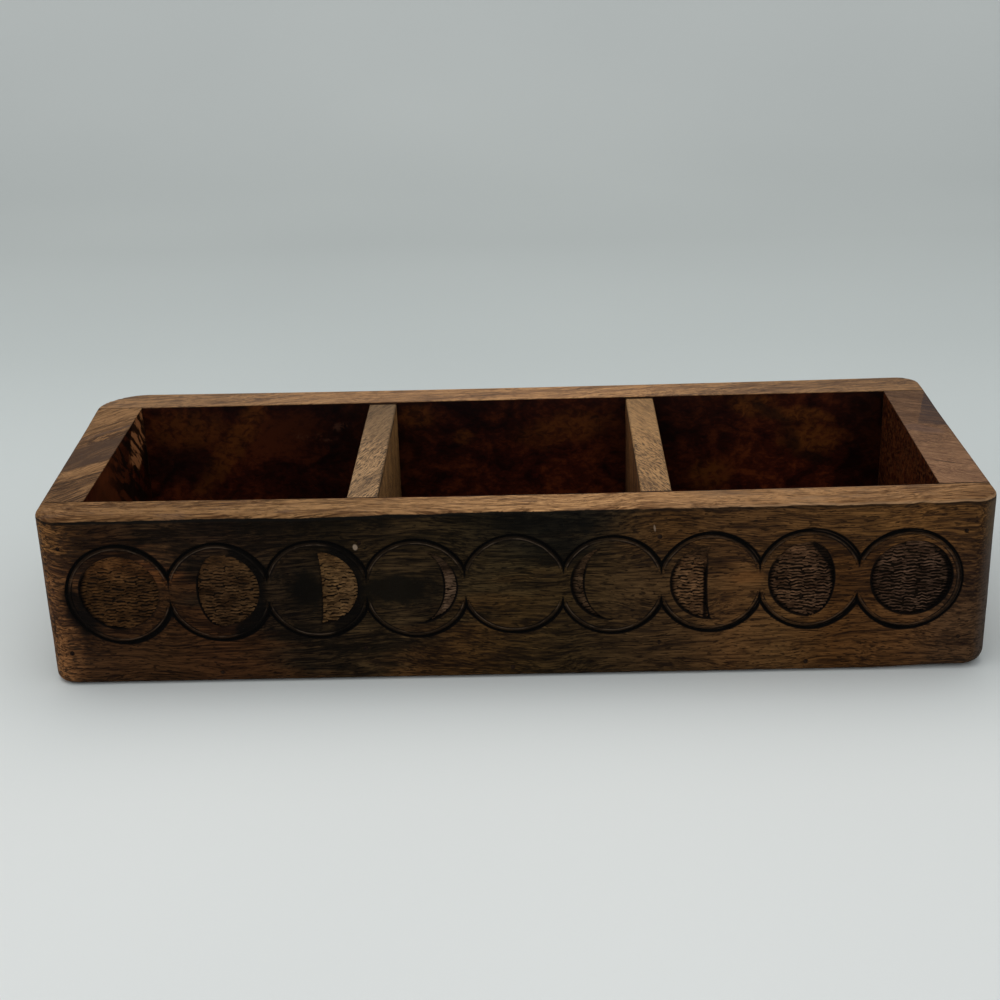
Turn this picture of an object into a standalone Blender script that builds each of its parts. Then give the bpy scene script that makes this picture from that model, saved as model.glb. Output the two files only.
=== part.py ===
"""Three-compartment wooden organizer box with a row of moons carved along its front.

The front and back boards run the full length and the end boards stand between them. The bottom board
lies inside all four, and two dividers stand on it. Every joint is a plain butt joint, glued and pinned
with headless brads.

Metres, +Z up. The origin is on the ground under the middle of the box, +X runs along its length to the
right as seen from the carved front, and the carved front faces -Y.
"""

import math

import bmesh
import bpy

# Outer block
LENGTH = 0.3264
DEPTH = 0.1270
HEIGHT = 0.0635

# Boards
FRONT_THICKNESS = 0.0142
BACK_THICKNESS = 0.0167
LEFT_END_THICKNESS = 0.0179
RIGHT_END_THICKNESS = 0.0176
BOTTOM_THICKNESS = 0.0080
DIVIDER_THICKNESS = 0.0109
DIVIDER_DROP = 0.0006  # from the rim down to the tops of the dividers
GLUE_GAP = 0.0003

# Sanded edges
FRONT_LEFT_CORNER_RADIUS = 0.0086
FRONT_RIGHT_CORNER_RADIUS = 0.0088
BACK_RIGHT_CORNER_RADIUS = 0.0065
BACK_LEFT_CORNER_LENGTH = 0.0180
BACK_LEFT_CORNER_DEPTH = 0.0170
LEFT_END_TAPER = 0.0030  # the left end is sanded thinner by this at the front
RIGHT_END_TAPER = 0.0018  # the right end is sanded thinner by this at the back
TOP_EDGE_RADIUS = 0.0018
BOTTOM_EDGE_RADIUS = 0.0030
RIM_INNER_EASE = 0.0005
DIVIDER_EDGE_RADIUS = 0.0012
SMALLEST_RADIUS = 0.0002

# Carving: each moon is a sunk ground inside a ring, and the rings run together into one scalloped line
MOON_COUNT = 9
MOON_RADIUS = 0.0136
MOON_SINK = 0.0012
RING_RADIUS = 0.0181
RING_GROOVE_WIDTH = 0.0016
RING_GROOVE_DEPTH = 0.0010
BAND_TOP_MARGIN = 0.0100  # from the rim down to the tops of the rings
BAND_LEFT_MARGIN = 0.0131  # from each end of the box to the outermost ring
BAND_RIGHT_MARGIN = 0.0110

# Brads
BRAD_DIAMETER = 0.0014
BRAD_LENGTH = 0.0300
BRAD_SET = 0.0008  # how deep a head is punched under the face
BRAD_CLEARANCE = 0.0003
BRAD_UPPER_INSET = 0.0115  # upper row, down from the rim
BRAD_LOWER_INSET = 0.0045  # lower row, up from the floor of the compartments
CORNER_BRAD_OFFSET = 0.0066  # from an end board's inner face out to the brads of its corners
END_BRAD_SPACING = 0.0600

# Facets
CORNER_STEPS = 5
EDGE_STEPS = 3
RING_STEPS = 48
MOON_STEPS = 14
BRAD_SIDES = 8
SHARP_ANGLE = 25  # degrees between faces, from which an edge stays sharp
OVERSHOOT = 0.0010  # how far a cutter stands out of the wood

FRONT_FACE = -DEPTH / 2
BACK_FACE = DEPTH / 2
LEFT_FACE = -LENGTH / 2
RIGHT_FACE = LENGTH / 2
FRONT_INSIDE = FRONT_FACE + FRONT_THICKNESS
BACK_INSIDE = BACK_FACE - BACK_THICKNESS
LEFT_INSIDE = LEFT_FACE + LEFT_END_THICKNESS
RIGHT_INSIDE = RIGHT_FACE - RIGHT_END_THICKNESS
COMPARTMENT_LENGTH = (RIGHT_INSIDE - LEFT_INSIDE - 2 * DIVIDER_THICKNESS) / 3
DIVIDER_CENTRES = (
    LEFT_INSIDE + COMPARTMENT_LENGTH + DIVIDER_THICKNESS / 2,
    RIGHT_INSIDE - COMPARTMENT_LENGTH - DIVIDER_THICKNESS / 2,
)
COMPARTMENT_CENTRES = (
    LEFT_INSIDE + COMPARTMENT_LENGTH / 2,
    (LEFT_INSIDE + RIGHT_INSIDE) / 2,
    RIGHT_INSIDE - COMPARTMENT_LENGTH / 2,
)

BAND_HEIGHT = HEIGHT - BAND_TOP_MARGIN - RING_RADIUS
BAND_START = LEFT_FACE + BAND_LEFT_MARGIN + RING_RADIUS
RING_PITCH = (RIGHT_FACE - BAND_RIGHT_MARGIN - RING_RADIUS - BAND_START) / (MOON_COUNT - 1)

# Length, depth and end taper of every sanded corner, by its sides: -1 is left or front, 1 is right or back
CORNERS = {
    (1, 1): (BACK_RIGHT_CORNER_RADIUS, BACK_RIGHT_CORNER_RADIUS, RIGHT_END_TAPER),
    (-1, 1): (BACK_LEFT_CORNER_LENGTH, BACK_LEFT_CORNER_DEPTH, 0.0),
    (-1, -1): (FRONT_LEFT_CORNER_RADIUS, FRONT_LEFT_CORNER_RADIUS, LEFT_END_TAPER),
    (1, -1): (FRONT_RIGHT_CORNER_RADIUS, FRONT_RIGHT_CORNER_RADIUS, 0.0),
}


def clear_scene():
    for obj in list(bpy.data.objects):
        bpy.data.objects.remove(obj)


def surface(name, colour, roughness, metallic=0.0):
    material = bpy.data.materials.new(name)
    material.use_nodes = True
    shader = material.node_tree.nodes["Principled BSDF"]
    shader.inputs["Base Color"].default_value = (*colour, 1.0)
    shader.inputs["Roughness"].default_value = roughness
    shader.inputs["Metallic"].default_value = metallic
    return material


def finished_mesh(name, bm):
    """A mesh of the finished bmesh, its faces turned outwards."""
    bmesh.ops.recalc_face_normals(bm, faces=bm.faces)
    mesh = bpy.data.meshes.new(name)
    bm.to_mesh(mesh)
    bm.free()
    mesh.shade_smooth()
    mesh.set_sharp_from_angle(angle=math.radians(SHARP_ANGLE))
    return mesh


def add_object(name, mesh, location, heading=0):
    """An object of a mesh at a location, turned about Z by a heading in degrees."""
    obj = bpy.data.objects.new(name, mesh)
    obj.location = location
    obj.rotation_euler = (0, 0, math.radians(heading))
    bpy.context.scene.collection.objects.link(obj)
    return obj


def make_object(name, bm, location, material=None):
    mesh = finished_mesh(name, bm)
    if material:
        mesh.materials.append(material)
    return add_object(name, mesh, location)


def loft(bm, loops, closed=False):
    """Joins loops of points, all of one count, with quads. An open loft gets a cap at each end."""
    rings = [[bm.verts.new(point) for point in loop] for loop in loops]
    count = len(rings[0])
    pairs = list(zip(rings, rings[1:]))
    if closed:
        pairs.append((rings[-1], rings[0]))
    for lower, upper in pairs:
        for i in range(count):
            j = (i + 1) % count
            bm.faces.new((lower[i], lower[j], upper[j], upper[i]))
    if not closed:
        bm.faces.new(rings[0])
        bm.faces.new(rings[-1])


def prism_along_x(bm, section, low, high):
    """A prism of a (y, z) section."""
    loft(bm, [[(x, y, z) for y, z in section] for x in (low, high)])


def prism_along_y(bm, section, low, high):
    """A prism of an (x, z) section."""
    loft(bm, [[(x, y, z) for x, z in section] for y in (low, high)])


def arc(centre, radius, start, end, steps):
    """Points on an arc in a plane, from the start angle to the end angle in degrees."""
    points = []
    for i in range(steps + 1):
        angle = math.radians(start + (end - start) * i / steps)
        points.append((centre[0] + radius * math.cos(angle), centre[1] + radius * math.sin(angle)))
    return points


def plan_outline(inset):
    """The box's outline seen from above, drawn in by an inset."""
    points = []
    for turn, ((side, end), (full_length, full_depth, taper)) in enumerate(CORNERS.items()):
        length = max(full_length - inset, SMALLEST_RADIUS)
        depth = max(full_depth - inset, SMALLEST_RADIUS)
        x = side * (LENGTH / 2 - taper - inset - length)
        y = end * (DEPTH / 2 - inset - depth)
        for a, b in arc((0.0, 0.0), 1.0, 90 * turn, 90 * turn + 90, CORNER_STEPS):
            points.append((x + length * a, y + depth * b))
    return points


def long_face(end, x):
    """Y of the front or back face, followed round the sanded corners."""
    length, depth, taper = CORNERS[math.copysign(1, x), end]
    past = max(0.0, abs(x) - (LENGTH / 2 - taper - length)) / length
    return end * (DEPTH / 2 - depth * (1 - math.sqrt(1 - past**2)))


def end_face(side, y):
    """X of an end's face, which runs straight from one sanded corner to the other."""
    _, front_depth, front_taper = CORNERS[side, -1]
    _, back_depth, back_taper = CORNERS[side, 1]
    front, back = FRONT_FACE + front_depth, BACK_FACE - back_depth
    share = (y - front) / (back - front)
    return side * (LENGTH / 2 - front_taper - (back_taper - front_taper) * share)


def outer_block():
    """The solid block that the sanded outside of the box follows."""
    levels = []
    for y, z in arc((0.0, BOTTOM_EDGE_RADIUS), BOTTOM_EDGE_RADIUS, -90, 0, EDGE_STEPS):
        levels.append((BOTTOM_EDGE_RADIUS - y, z))
    for y, z in arc((0.0, HEIGHT - TOP_EDGE_RADIUS), TOP_EDGE_RADIUS, 0, 90, EDGE_STEPS):
        levels.append((TOP_EDGE_RADIUS - y, z))
    bm = bmesh.new()
    loft(bm, [[(x, y, z) for x, y in plan_outline(inset)] for inset, z in levels])
    return as_cutter(make_object("outer_block", bm, (0, 0, 0)))


def as_cutter(obj):
    obj.hide_render = True
    obj.display_type = "WIRE"
    return obj


def boolean(obj, name, operation, cutter=None, cutters=None):
    modifier = obj.modifiers.new(name, "BOOLEAN")
    modifier.operation = operation
    if cutter:
        modifier.object = cutter
    else:
        modifier.operand_type = "COLLECTION"
        modifier.collection = cutters


def collection_of(name, objects):
    group = bpy.data.collections.new(name)
    bpy.context.scene.collection.children.link(group)
    for obj in objects:
        group.objects.link(obj)
    return group


def board_section(thickness):
    """Upright board from its inner face at 0 out past its outer face, with the inner top edge eased.

    The ease runs on above the rim and the other sides stand past the block, which trims them.
    """
    return [
        (0.0, -OVERSHOOT),
        (0.0, HEIGHT - RIM_INNER_EASE),
        (RIM_INNER_EASE + OVERSHOOT, HEIGHT + OVERSHOOT),
        (thickness + OVERSHOOT, HEIGHT + OVERSHOOT),
        (thickness + OVERSHOOT, -OVERSHOOT),
    ]


def long_board(name, inside, thickness, outward, material, block):
    """The front or back board, over the full length. outward is -1 at the front and 1 at the back."""
    bm = bmesh.new()
    section = [(outward * y, z) for y, z in board_section(thickness)]
    prism_along_x(bm, section, LEFT_FACE - OVERSHOOT, RIGHT_FACE + OVERSHOOT)
    board = make_object(name, bm, (0, inside, 0), material)
    boolean(board, "Sanded outside", "INTERSECT", cutter=block)
    return board


def end_board(name, inside, thickness, outward, material, block):
    """An end board, between the front and back boards. outward is -1 on the left and 1 on the right."""
    bm = bmesh.new()
    section = [(outward * x, z) for x, z in board_section(thickness)]
    prism_along_y(bm, section, FRONT_INSIDE + GLUE_GAP, BACK_INSIDE - GLUE_GAP)
    board = make_object(name, bm, (inside, 0, 0), material)
    boolean(board, "Sanded outside", "INTERSECT", cutter=block)
    return board


def bottom_board(material):
    """The floor of the compartments, inside the four upright boards."""
    left, right = LEFT_INSIDE + GLUE_GAP, RIGHT_INSIDE - GLUE_GAP
    section = [(left, 0.0), (right, 0.0), (right, BOTTOM_THICKNESS), (left, BOTTOM_THICKNESS)]
    bm = bmesh.new()
    prism_along_y(bm, section, FRONT_INSIDE + GLUE_GAP, BACK_INSIDE - GLUE_GAP)
    return make_object("bottom_board", bm, (0, 0, 0), material)


def divider(name, centre, material):
    """A divider standing on the bottom board, with its top edges rounded over."""
    half = DIVIDER_THICKNESS / 2
    height = HEIGHT - DIVIDER_DROP - BOTTOM_THICKNESS - GLUE_GAP
    radius = min(DIVIDER_EDGE_RADIUS, half - SMALLEST_RADIUS)
    section = [(-half, 0.0), (half, 0.0)]
    section += arc((half - radius, height - radius), radius, 0, 90, EDGE_STEPS)
    section += arc((radius - half, height - radius), radius, 90, 180, EDGE_STEPS)
    bm = bmesh.new()
    prism_along_y(bm, section, FRONT_INSIDE + GLUE_GAP, BACK_INSIDE - GLUE_GAP)
    return make_object(name, bm, (centre, 0, BOTTOM_THICKNESS + GLUE_GAP), material)


def moon_centre(index):
    return BAND_START + index * RING_PITCH


def moon_shadow(index):
    """Outline of a moon's dark part, about its centre, or None for the full moon.

    The phases go once round from new moon to new moon. The dark part lies between one limb, a half
    circle, and the terminator, a half ellipse that narrows with the cosine of the phase.
    """
    phase = 2 * math.pi * index / (MOON_COUNT - 1)
    side = 1 if phase < math.pi else -1
    terminator = -side * math.cos(phase)
    if math.isclose(terminator, side):
        return None
    points = []
    for step in range(MOON_STEPS + 1):
        angle = math.pi * step / MOON_STEPS
        points.append((side * MOON_RADIUS * math.sin(angle), MOON_RADIUS * math.cos(angle)))
    for step in range(MOON_STEPS - 1, 0, -1):
        angle = math.pi * step / MOON_STEPS
        points.append((terminator * MOON_RADIUS * math.sin(angle), MOON_RADIUS * math.cos(angle)))
    return points


def moon_cutter(index, outline):
    bm = bmesh.new()
    prism_along_y(bm, outline, -OVERSHOOT, MOON_SINK)
    return as_cutter(make_object(f"moon_{index}", bm, (moon_centre(index), FRONT_FACE, BAND_HEIGHT)))


def ring_disc(index):
    """A disc as wide as the line of a ring, to trim the neighbouring rings with."""
    bm = bmesh.new()
    rim = arc((0.0, 0.0), RING_RADIUS, 0, 360, RING_STEPS)[:-1]
    prism_along_y(bm, rim, -2 * OVERSHOOT, RING_GROOVE_DEPTH + OVERSHOOT)
    return as_cutter(make_object(f"ring_disc_{index}", bm, (moon_centre(index), FRONT_FACE, BAND_HEIGHT)))


def ring_cutter(index, discs):
    """A V-shaped ring, without the stretches that lie inside the neighbouring rings."""
    slope = RING_GROOVE_WIDTH / 2 / RING_GROOVE_DEPTH
    half_width = slope * (RING_GROOVE_DEPTH + OVERSHOOT)
    loops = []
    for x, z in arc((0.0, 0.0), 1.0, 0, 360, RING_STEPS)[:-1]:
        outer, inner = RING_RADIUS + half_width, RING_RADIUS - half_width
        loops.append(
            [
                (outer * x, -OVERSHOOT, outer * z),
                (inner * x, -OVERSHOOT, inner * z),
                (RING_RADIUS * x, RING_GROOVE_DEPTH, RING_RADIUS * z),
            ]
        )
    bm = bmesh.new()
    loft(bm, loops, closed=True)
    ring = as_cutter(make_object(f"ring_{index}", bm, (moon_centre(index), FRONT_FACE, BAND_HEIGHT)))
    for neighbour in (index - 1, index + 1):
        if 0 <= neighbour < MOON_COUNT:
            boolean(ring, f"Trim to ring {neighbour}", "DIFFERENCE", cutter=discs[neighbour])
    return ring


def carving():
    """All the cutters of the carved front."""
    cutters = []
    for index in range(MOON_COUNT):
        outline = moon_shadow(index)
        if outline:
            cutters.append(moon_cutter(index, outline))
    discs = [ring_disc(index) for index in range(MOON_COUNT)]
    cutters += [ring_cutter(index, discs) for index in range(MOON_COUNT)]
    return collection_of("carving", cutters)


def rod_mesh(name, start, end, radius):
    """A round rod along Y from start to end."""
    circle = arc((0.0, 0.0), radius, 0, 360, BRAD_SIDES)[:-1]
    bm = bmesh.new()
    prism_along_y(bm, circle, start, end)
    return finished_mesh(name, bm)


def brad_places():
    """Name, head point and heading of every brad. Heading 0 drives it from the front straight back."""
    heights = {"lower": BOTTOM_THICKNESS + BRAD_LOWER_INSET, "upper": HEIGHT - BRAD_UPPER_INSET}
    floor = BOTTOM_THICKNESS / 2
    columns = {
        "left_corner": LEFT_INSIDE - CORNER_BRAD_OFFSET,
        "left_divider": DIVIDER_CENTRES[0],
        "right_divider": DIVIDER_CENTRES[1],
        "right_corner": RIGHT_INSIDE + CORNER_BRAD_OFFSET,
    }
    places = []
    for name, end, heading in (("front", -1, 0), ("back", 1, 180)):
        for column, x in columns.items():
            for row, z in heights.items():
                places.append((f"{name}_{row}_brad_{column}", (x, long_face(end, x), z), heading))
        for number, x in enumerate(COMPARTMENT_CENTRES, 1):
            places.append((f"{name}_bottom_brad_{number}", (x, long_face(end, x), floor), heading))
    for name, side, heading in (("left", -1, -90), ("right", 1, 90)):
        for number, y in enumerate((-END_BRAD_SPACING / 2, END_BRAD_SPACING / 2), 1):
            places.append((f"{name}_bottom_brad_{number}", (end_face(side, y), y, floor), heading))
    return places


def all_brads(steel):
    """Every brad, and the bores that they sit in, as cutters."""
    tip = BRAD_SET + BRAD_LENGTH
    brad = rod_mesh("brad", BRAD_SET, tip, BRAD_DIAMETER / 2)
    brad.materials.append(steel)
    bore = rod_mesh("bore", -OVERSHOOT, tip + BRAD_CLEARANCE, BRAD_DIAMETER / 2 + BRAD_CLEARANCE)
    bores = []
    for name, head, heading in brad_places():
        add_object(name, brad, head, heading)
        bores.append(as_cutter(add_object(f"{name}_bore", bore, head, heading)))
    return collection_of("brad_bores", bores)


def build():
    clear_scene()
    dark = surface("dark stained wood", (0.085, 0.052, 0.032), 0.55)
    brown = surface("brown stained wood", (0.20, 0.105, 0.055), 0.55)
    pale = surface("pale wood", (0.36, 0.25, 0.14), 0.60)
    deep = surface("deep red-brown wood", (0.075, 0.028, 0.014), 0.45)
    steel = surface("brad steel", (0.45, 0.44, 0.42), 0.35, metallic=1.0)

    block = outer_block()
    front = long_board("front_board", FRONT_INSIDE, FRONT_THICKNESS, -1, dark, block)
    back = long_board("back_board", BACK_INSIDE, BACK_THICKNESS, 1, brown, block)
    left = end_board("left_end_board", LEFT_INSIDE, LEFT_END_THICKNESS, -1, brown, block)
    right = end_board("right_end_board", RIGHT_INSIDE, RIGHT_END_THICKNESS, 1, brown, block)
    bottom = bottom_board(deep)
    dividers = [
        divider(f"{side}_divider", centre, pale)
        for side, centre in zip(("left", "right"), DIVIDER_CENTRES)
    ]
    boolean(front, "Carving", "DIFFERENCE", cutters=carving())

    bores = all_brads(steel)
    for board in (front, back, left, right, bottom, *dividers):
        boolean(board, "Brad bores", "DIFFERENCE", cutters=bores)

    box = bpy.data.objects.new("organizer_box", None)
    bpy.context.scene.collection.objects.link(box)
    for obj in bpy.data.objects:
        if obj is not box:
            obj.parent = box


build()
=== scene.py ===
"""Looks of the moon-carved organizer box.

Seven hand-worked boards with a stained, partly sanded finish, chip-cut grounds in the carved moons, filled
brad holes, glue lines, and a plain pale studio.
"""

import math

import bpy
import numpy as np
from mathutils import Matrix, Vector
from mathutils.geometry import delaunay_2d_cdt


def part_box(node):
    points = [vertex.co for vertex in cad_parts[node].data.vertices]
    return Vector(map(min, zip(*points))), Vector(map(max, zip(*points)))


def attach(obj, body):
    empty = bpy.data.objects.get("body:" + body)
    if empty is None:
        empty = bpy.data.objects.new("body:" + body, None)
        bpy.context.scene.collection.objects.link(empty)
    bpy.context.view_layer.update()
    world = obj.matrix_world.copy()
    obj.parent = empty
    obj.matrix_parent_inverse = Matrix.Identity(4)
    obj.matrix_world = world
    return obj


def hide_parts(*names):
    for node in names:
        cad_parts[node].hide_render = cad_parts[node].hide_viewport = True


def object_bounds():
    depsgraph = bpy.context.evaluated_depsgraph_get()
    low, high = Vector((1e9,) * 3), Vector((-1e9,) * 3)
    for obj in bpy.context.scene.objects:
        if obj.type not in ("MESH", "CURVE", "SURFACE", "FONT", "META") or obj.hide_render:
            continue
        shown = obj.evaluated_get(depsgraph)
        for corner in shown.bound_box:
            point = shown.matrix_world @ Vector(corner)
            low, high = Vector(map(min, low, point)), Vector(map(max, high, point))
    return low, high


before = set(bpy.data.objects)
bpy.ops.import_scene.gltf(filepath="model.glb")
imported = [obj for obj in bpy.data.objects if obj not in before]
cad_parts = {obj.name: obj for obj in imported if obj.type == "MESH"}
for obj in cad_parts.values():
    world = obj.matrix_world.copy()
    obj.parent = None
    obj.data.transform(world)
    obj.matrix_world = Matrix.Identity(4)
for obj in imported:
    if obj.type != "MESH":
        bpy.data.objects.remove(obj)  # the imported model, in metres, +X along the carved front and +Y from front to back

MM = 0.001
CAD_LOW, CAD_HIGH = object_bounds()

# Camera, from the perspective of the box in the photograph
CAMERA_PLACE = (10.78 * MM, -573.85 * MM, 278.95 * MM)
CAMERA_YAW = -1.4886
CAMERA_TILT = 22.585
CAMERA_ROLL = -1.8054
CAMERA_LENS = 60.174
SENSOR_WIDTH = 36.0

# The sanded outside, which follows the solids' closely: each corner's size along the length and along the
# depth, and how far the end is sanded in there
FRONT_LEFT_CORNER = (8.6 * MM, 8.6 * MM, 3.0 * MM)
FRONT_RIGHT_CORNER = (8.8 * MM, 8.8 * MM, 0.0)
BACK_LEFT_CORNER = (18.0 * MM, 17.0 * MM, 0.0)
BACK_RIGHT_CORNER = (8.5 * MM, 8.0 * MM, 1.8 * MM)

# Rounding of the long edges, each with the stretch where one size runs over into the other
TOP_EDGE, BACK_TOP_EDGE, TOP_CHANGE = 1.8 * MM, 1.0 * MM, (20 * MM, 50 * MM)
BOTTOM_EDGE, BOTTOM_RIGHT_EDGE, BOTTOM_CHANGE = 3.0 * MM, 5.2 * MM, (120 * MM, 150 * MM)

# Wear of the rim in the middle of the box, from the front board to the back board's inner and outer edges
FRONT_SAG, BACK_INNER_SAG, BACK_SAG = 0.85 * MM, 0.05 * MM, 0.75 * MM
INWARD_CHANGE, BACK_CHANGE = (-30 * MM, 45 * MM), (46 * MM, 62 * MM)
SAG_FROM, SAG_FULL = 40.0 * MM, 58.0 * MM

DIVIDER_EASE = 1.2 * MM
JOINT_EASE = 0.15 * MM
SAME_PLANE = 0.05 * MM
TRIM_ALLOWANCE = 5 * MM
GLUE_INSET = 0.10 * MM
GLUE_OVERLAP = 0.12 * MM

# Carving
MOON_COUNT = 9
MOON_RADIUS = 13.6 * MM
RING_RADIUS = 18.1 * MM
BAND_TOP_MARGIN = 10.0 * MM
BAND_LEFT_MARGIN = 13.1 * MM
BAND_RIGHT_MARGIN = 11.0 * MM
GROOVE_HALF_WIDTH = 0.75 * MM
GROOVE_DEPTH = 0.90 * MM
CHANNEL_DEPTH = 0.26 * MM
CREST_INSET = 1.28 * MM
SECOND_LINE_INSET = 1.66 * MM
SECOND_LINE_HALF_WIDTH = 0.35 * MM
SECOND_LINE_DEPTH = 0.42 * MM
RING_TAIL = 2.4 * MM
RING_WANDER = 0.22 * MM
SINK = 1.05 * MM
SINK_TOP = 0.40 * MM
SINK_SLOPE = 12.0 * MM
SINK_WALL = 0.35 * MM

# Where the mesh has points along a ring's line, inside a ground's outline and around a brad's head
RING_OFFSETS = (-2.35, -2.0, -1.66, -1.3, -1.0, -0.7, -0.35, 0.0, 0.35, 0.75, 1.2)
OUTLINE_INSETS = (-0.45, 0.0, 0.17, 0.35, 0.8)
DIMPLE_SHARES = (0.35, 0.7, 1.0, 1.3)

# How far each ring and each ground sits off its even place, along the board and up, in millimetres
RING_SHIFTS = (
    (-0.9, -0.9), (-0.2, -0.8), (0, -0.5), (0.4, -0.8), (0.4, 0), (0.2, -0.9), (0.1, -0.7), (0, -0.2),
    (-0.4, -0.9),
)
GROUND_SHIFTS = (
    (-1.0, -0.2), (0.1, 0), (0.4, 0.1), (0.6, 0), (0, 0), (0, 0), (0.3, -0.5), (0, 0), (1.0, -0.3),
)

# Where each moon's shadow starts, from its centre, and the side that the shadow fills: 1 right, -1 left,
# 0 all of it and None nothing
MOON_SHADOWS = (
    (0.0, 0),
    (-7.5 * MM, 1),
    (1.2 * MM, 1),
    (9.5 * MM, 1),
    (0.0, None),
    (-9.5 * MM, -1),
    (-1.7 * MM, -1),
    (8.3 * MM, -1),
    (0.0, 0),
)

# Chip cuts on the sunk grounds
CUT_PITCH = 1.18 * MM
CUT_SPACING = 4.30 * MM
CUT_LENGTH = 6.30 * MM
CUT_HEIGHT = 0.75 * MM
CUT_ROOT = 0.12 * MM
CUT_WAVE = 2.2 * MM
CUT_OVERHANG = 0.4 * MM
GROUND_DROP = 0.1 * MM
CRESCENT_MOONS = (3, 5)
CRESCENT_CUTS = {"Row Pitch": 1.0 * MM, "Cut Height": 0.6 * MM}

# Brads
BRAD_SET = 0.8 * MM
DIMPLE_RADIUS = 1.15 * MM
DIMPLE_DEPTH = 0.25 * MM
FILLER_RADIUS = 0.8 * MM

# Place, size and depth of small dents in the edges
NICKS = (
    ((75.0 * MM, -63.5 * MM, 62.6 * MM), (3.2 * MM, 1.6 * MM, 1.0 * MM), 0.7 * MM),
    ((-24.0 * MM, -63.5 * MM, 62.9 * MM), (4.0 * MM, 1.2 * MM, 0.8 * MM), 0.4 * MM),
    ((138.0 * MM, -63.5 * MM, 62.4 * MM), (5.0 * MM, 1.4 * MM, 1.0 * MM), 0.5 * MM),
)

FRONT_FACE = CAD_LOW.y
BAND_HEIGHT = CAD_HIGH.z - BAND_TOP_MARGIN - RING_RADIUS
FIRST_MOON = CAD_LOW.x + BAND_LEFT_MARGIN + RING_RADIUS
LAST_MOON = CAD_HIGH.x - BAND_RIGHT_MARGIN - RING_RADIUS
MOON_PITCH = (LAST_MOON - FIRST_MOON) / (MOON_COUNT - 1)


def moon_places(shifts):
    return [(FIRST_MOON + MOON_PITCH * i + x * MM, BAND_HEIGHT + z * MM) for i, (x, z) in enumerate(shifts)]


RING_CENTRES = moon_places(RING_SHIFTS)
GROUND_CENTRES = moon_places(GROUND_SHIFTS)


# Node graphs


class Graph:
    """Short calls to add nodes to a shader or geometry tree. A value that is a socket is linked."""

    def __init__(self, tree):
        self.tree = tree
        tree.nodes.clear()

    def node(self, kind, inputs=(), **settings):
        node = self.tree.nodes.new(kind)
        for name, value in settings.items():
            setattr(node, name, value)
        for key, value in dict(inputs).items():
            self.put(node.inputs[key], value)
        return node

    def put(self, socket, value):
        if isinstance(value, bpy.types.NodeSocket):
            self.tree.links.new(value, socket)
        else:
            socket.default_value = value

    def math(self, operation, *values):
        return self.node("ShaderNodeMath", enumerate(values), operation=operation).outputs[0]

    def chain(self, operation, result, *values):
        for value in values:
            result = self.math(operation, result, value)
        return result

    def plus(self, *values):
        return self.chain("ADD", *values)

    def minus(self, a, b):
        return self.math("SUBTRACT", a, b)

    def times(self, *values):
        return self.chain("MULTIPLY", *values)

    both = times

    def either(self, *values):
        return self.chain("MAXIMUM", *values)

    def over(self, a, b):
        return self.math("DIVIDE", a, b)

    def absolute(self, value):
        return self.math("ABSOLUTE", value)

    def vector_math(self, operation, *values):
        return self.node("ShaderNodeVectorMath", enumerate(values), operation=operation).outputs[0]

    def scaled(self, place, scale):
        return self.vector_math("MULTIPLY", place, scale)

    def combine(self, x=0.0, y=0.0, z=0.0):
        return self.node("ShaderNodeCombineXYZ", {0: x, 1: y, 2: z}).outputs[0]

    def separate(self, vector):
        return self.node("ShaderNodeSeparateXYZ", {0: vector}).outputs

    def length(self, vector):
        return self.node("ShaderNodeVectorMath", {0: vector}, operation="LENGTH").outputs["Value"]

    def share(self, value, low, high):
        """Even rise from 0 at low to 1 at high."""
        return self.node("ShaderNodeMapRange", {"Value": value, "From Min": low, "From Max": high}).outputs[0]

    def smooth(self, value, low, high, to_low=0.0, to_high=1.0):
        inputs = {"Value": value, "From Min": low, "From Max": high, "To Min": to_low, "To Max": to_high}
        return self.node("ShaderNodeMapRange", inputs, interpolation_type="SMOOTHSTEP").outputs[0]

    def within(self, value, rise, fall):
        """1 from the end of one slope to the start of the other, and 0 outside both."""
        return self.both(self.smooth(value, *rise), self.smooth(value, *fall, 1.0, 0.0))

    def near(self, value, place, inner, outer, most=1.0):
        """A line at a place: the most within the inner distance, falling to 0 at the outer one."""
        return self.smooth(self.absolute(self.minus(value, place)), inner, outer, most, 0.0)

    def noise(self, place, scale, detail=3.0, roughness=0.55, distortion=0.0):
        inputs = {"Vector": place, "Scale": scale, "Detail": detail}
        inputs.update({"Roughness": roughness, "Distortion": distortion})
        return self.node("ShaderNodeTexNoise", inputs).outputs["Fac"]

    def mix(self, share, first, second, blend="MIX"):
        node = self.node("ShaderNodeMix", data_type="RGBA", blend_type=blend)
        self.put(node.inputs["Factor"], share)
        self.put(node.inputs[6], with_alpha(first))
        self.put(node.inputs[7], with_alpha(second))
        return node.outputs[2]

    def ramp(self, value, stops):
        node = self.node("ShaderNodeValToRGB", {"Fac": value})
        elements = node.color_ramp.elements
        while len(elements) < len(stops):
            elements.new(0.5)
        for element, (place, colour) in zip(elements, stops):
            element.position = place
            element.color = with_alpha(colour)
        return node.outputs["Color"]

    def attribute(self, name):
        return self.node("ShaderNodeAttribute", attribute_name=name).outputs["Fac"]


def with_alpha(colour):
    return colour if isinstance(colour, bpy.types.NodeSocket) else (*colour, 1.0)


# Finishes. Places and sizes on the part are in millimetres, and tones are linear colours or shares

ABOUT_Y = (0, 1, 0)
FACE_Y = -63.0
BACK_INNER_Y = 47.0
PATCH_REACH = 9.0
# Near-black of the painted shade on the carving's walls, grounds and chip cuts
PAINTED_SHADE_BLACK = (0.0022, 0.0016, 0.0013)
STAIN_LIGHT, STAIN_MID, STAIN_DARK = (0.150, 0.078, 0.036), (0.085, 0.044, 0.022), (0.028, 0.016, 0.011)

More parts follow.
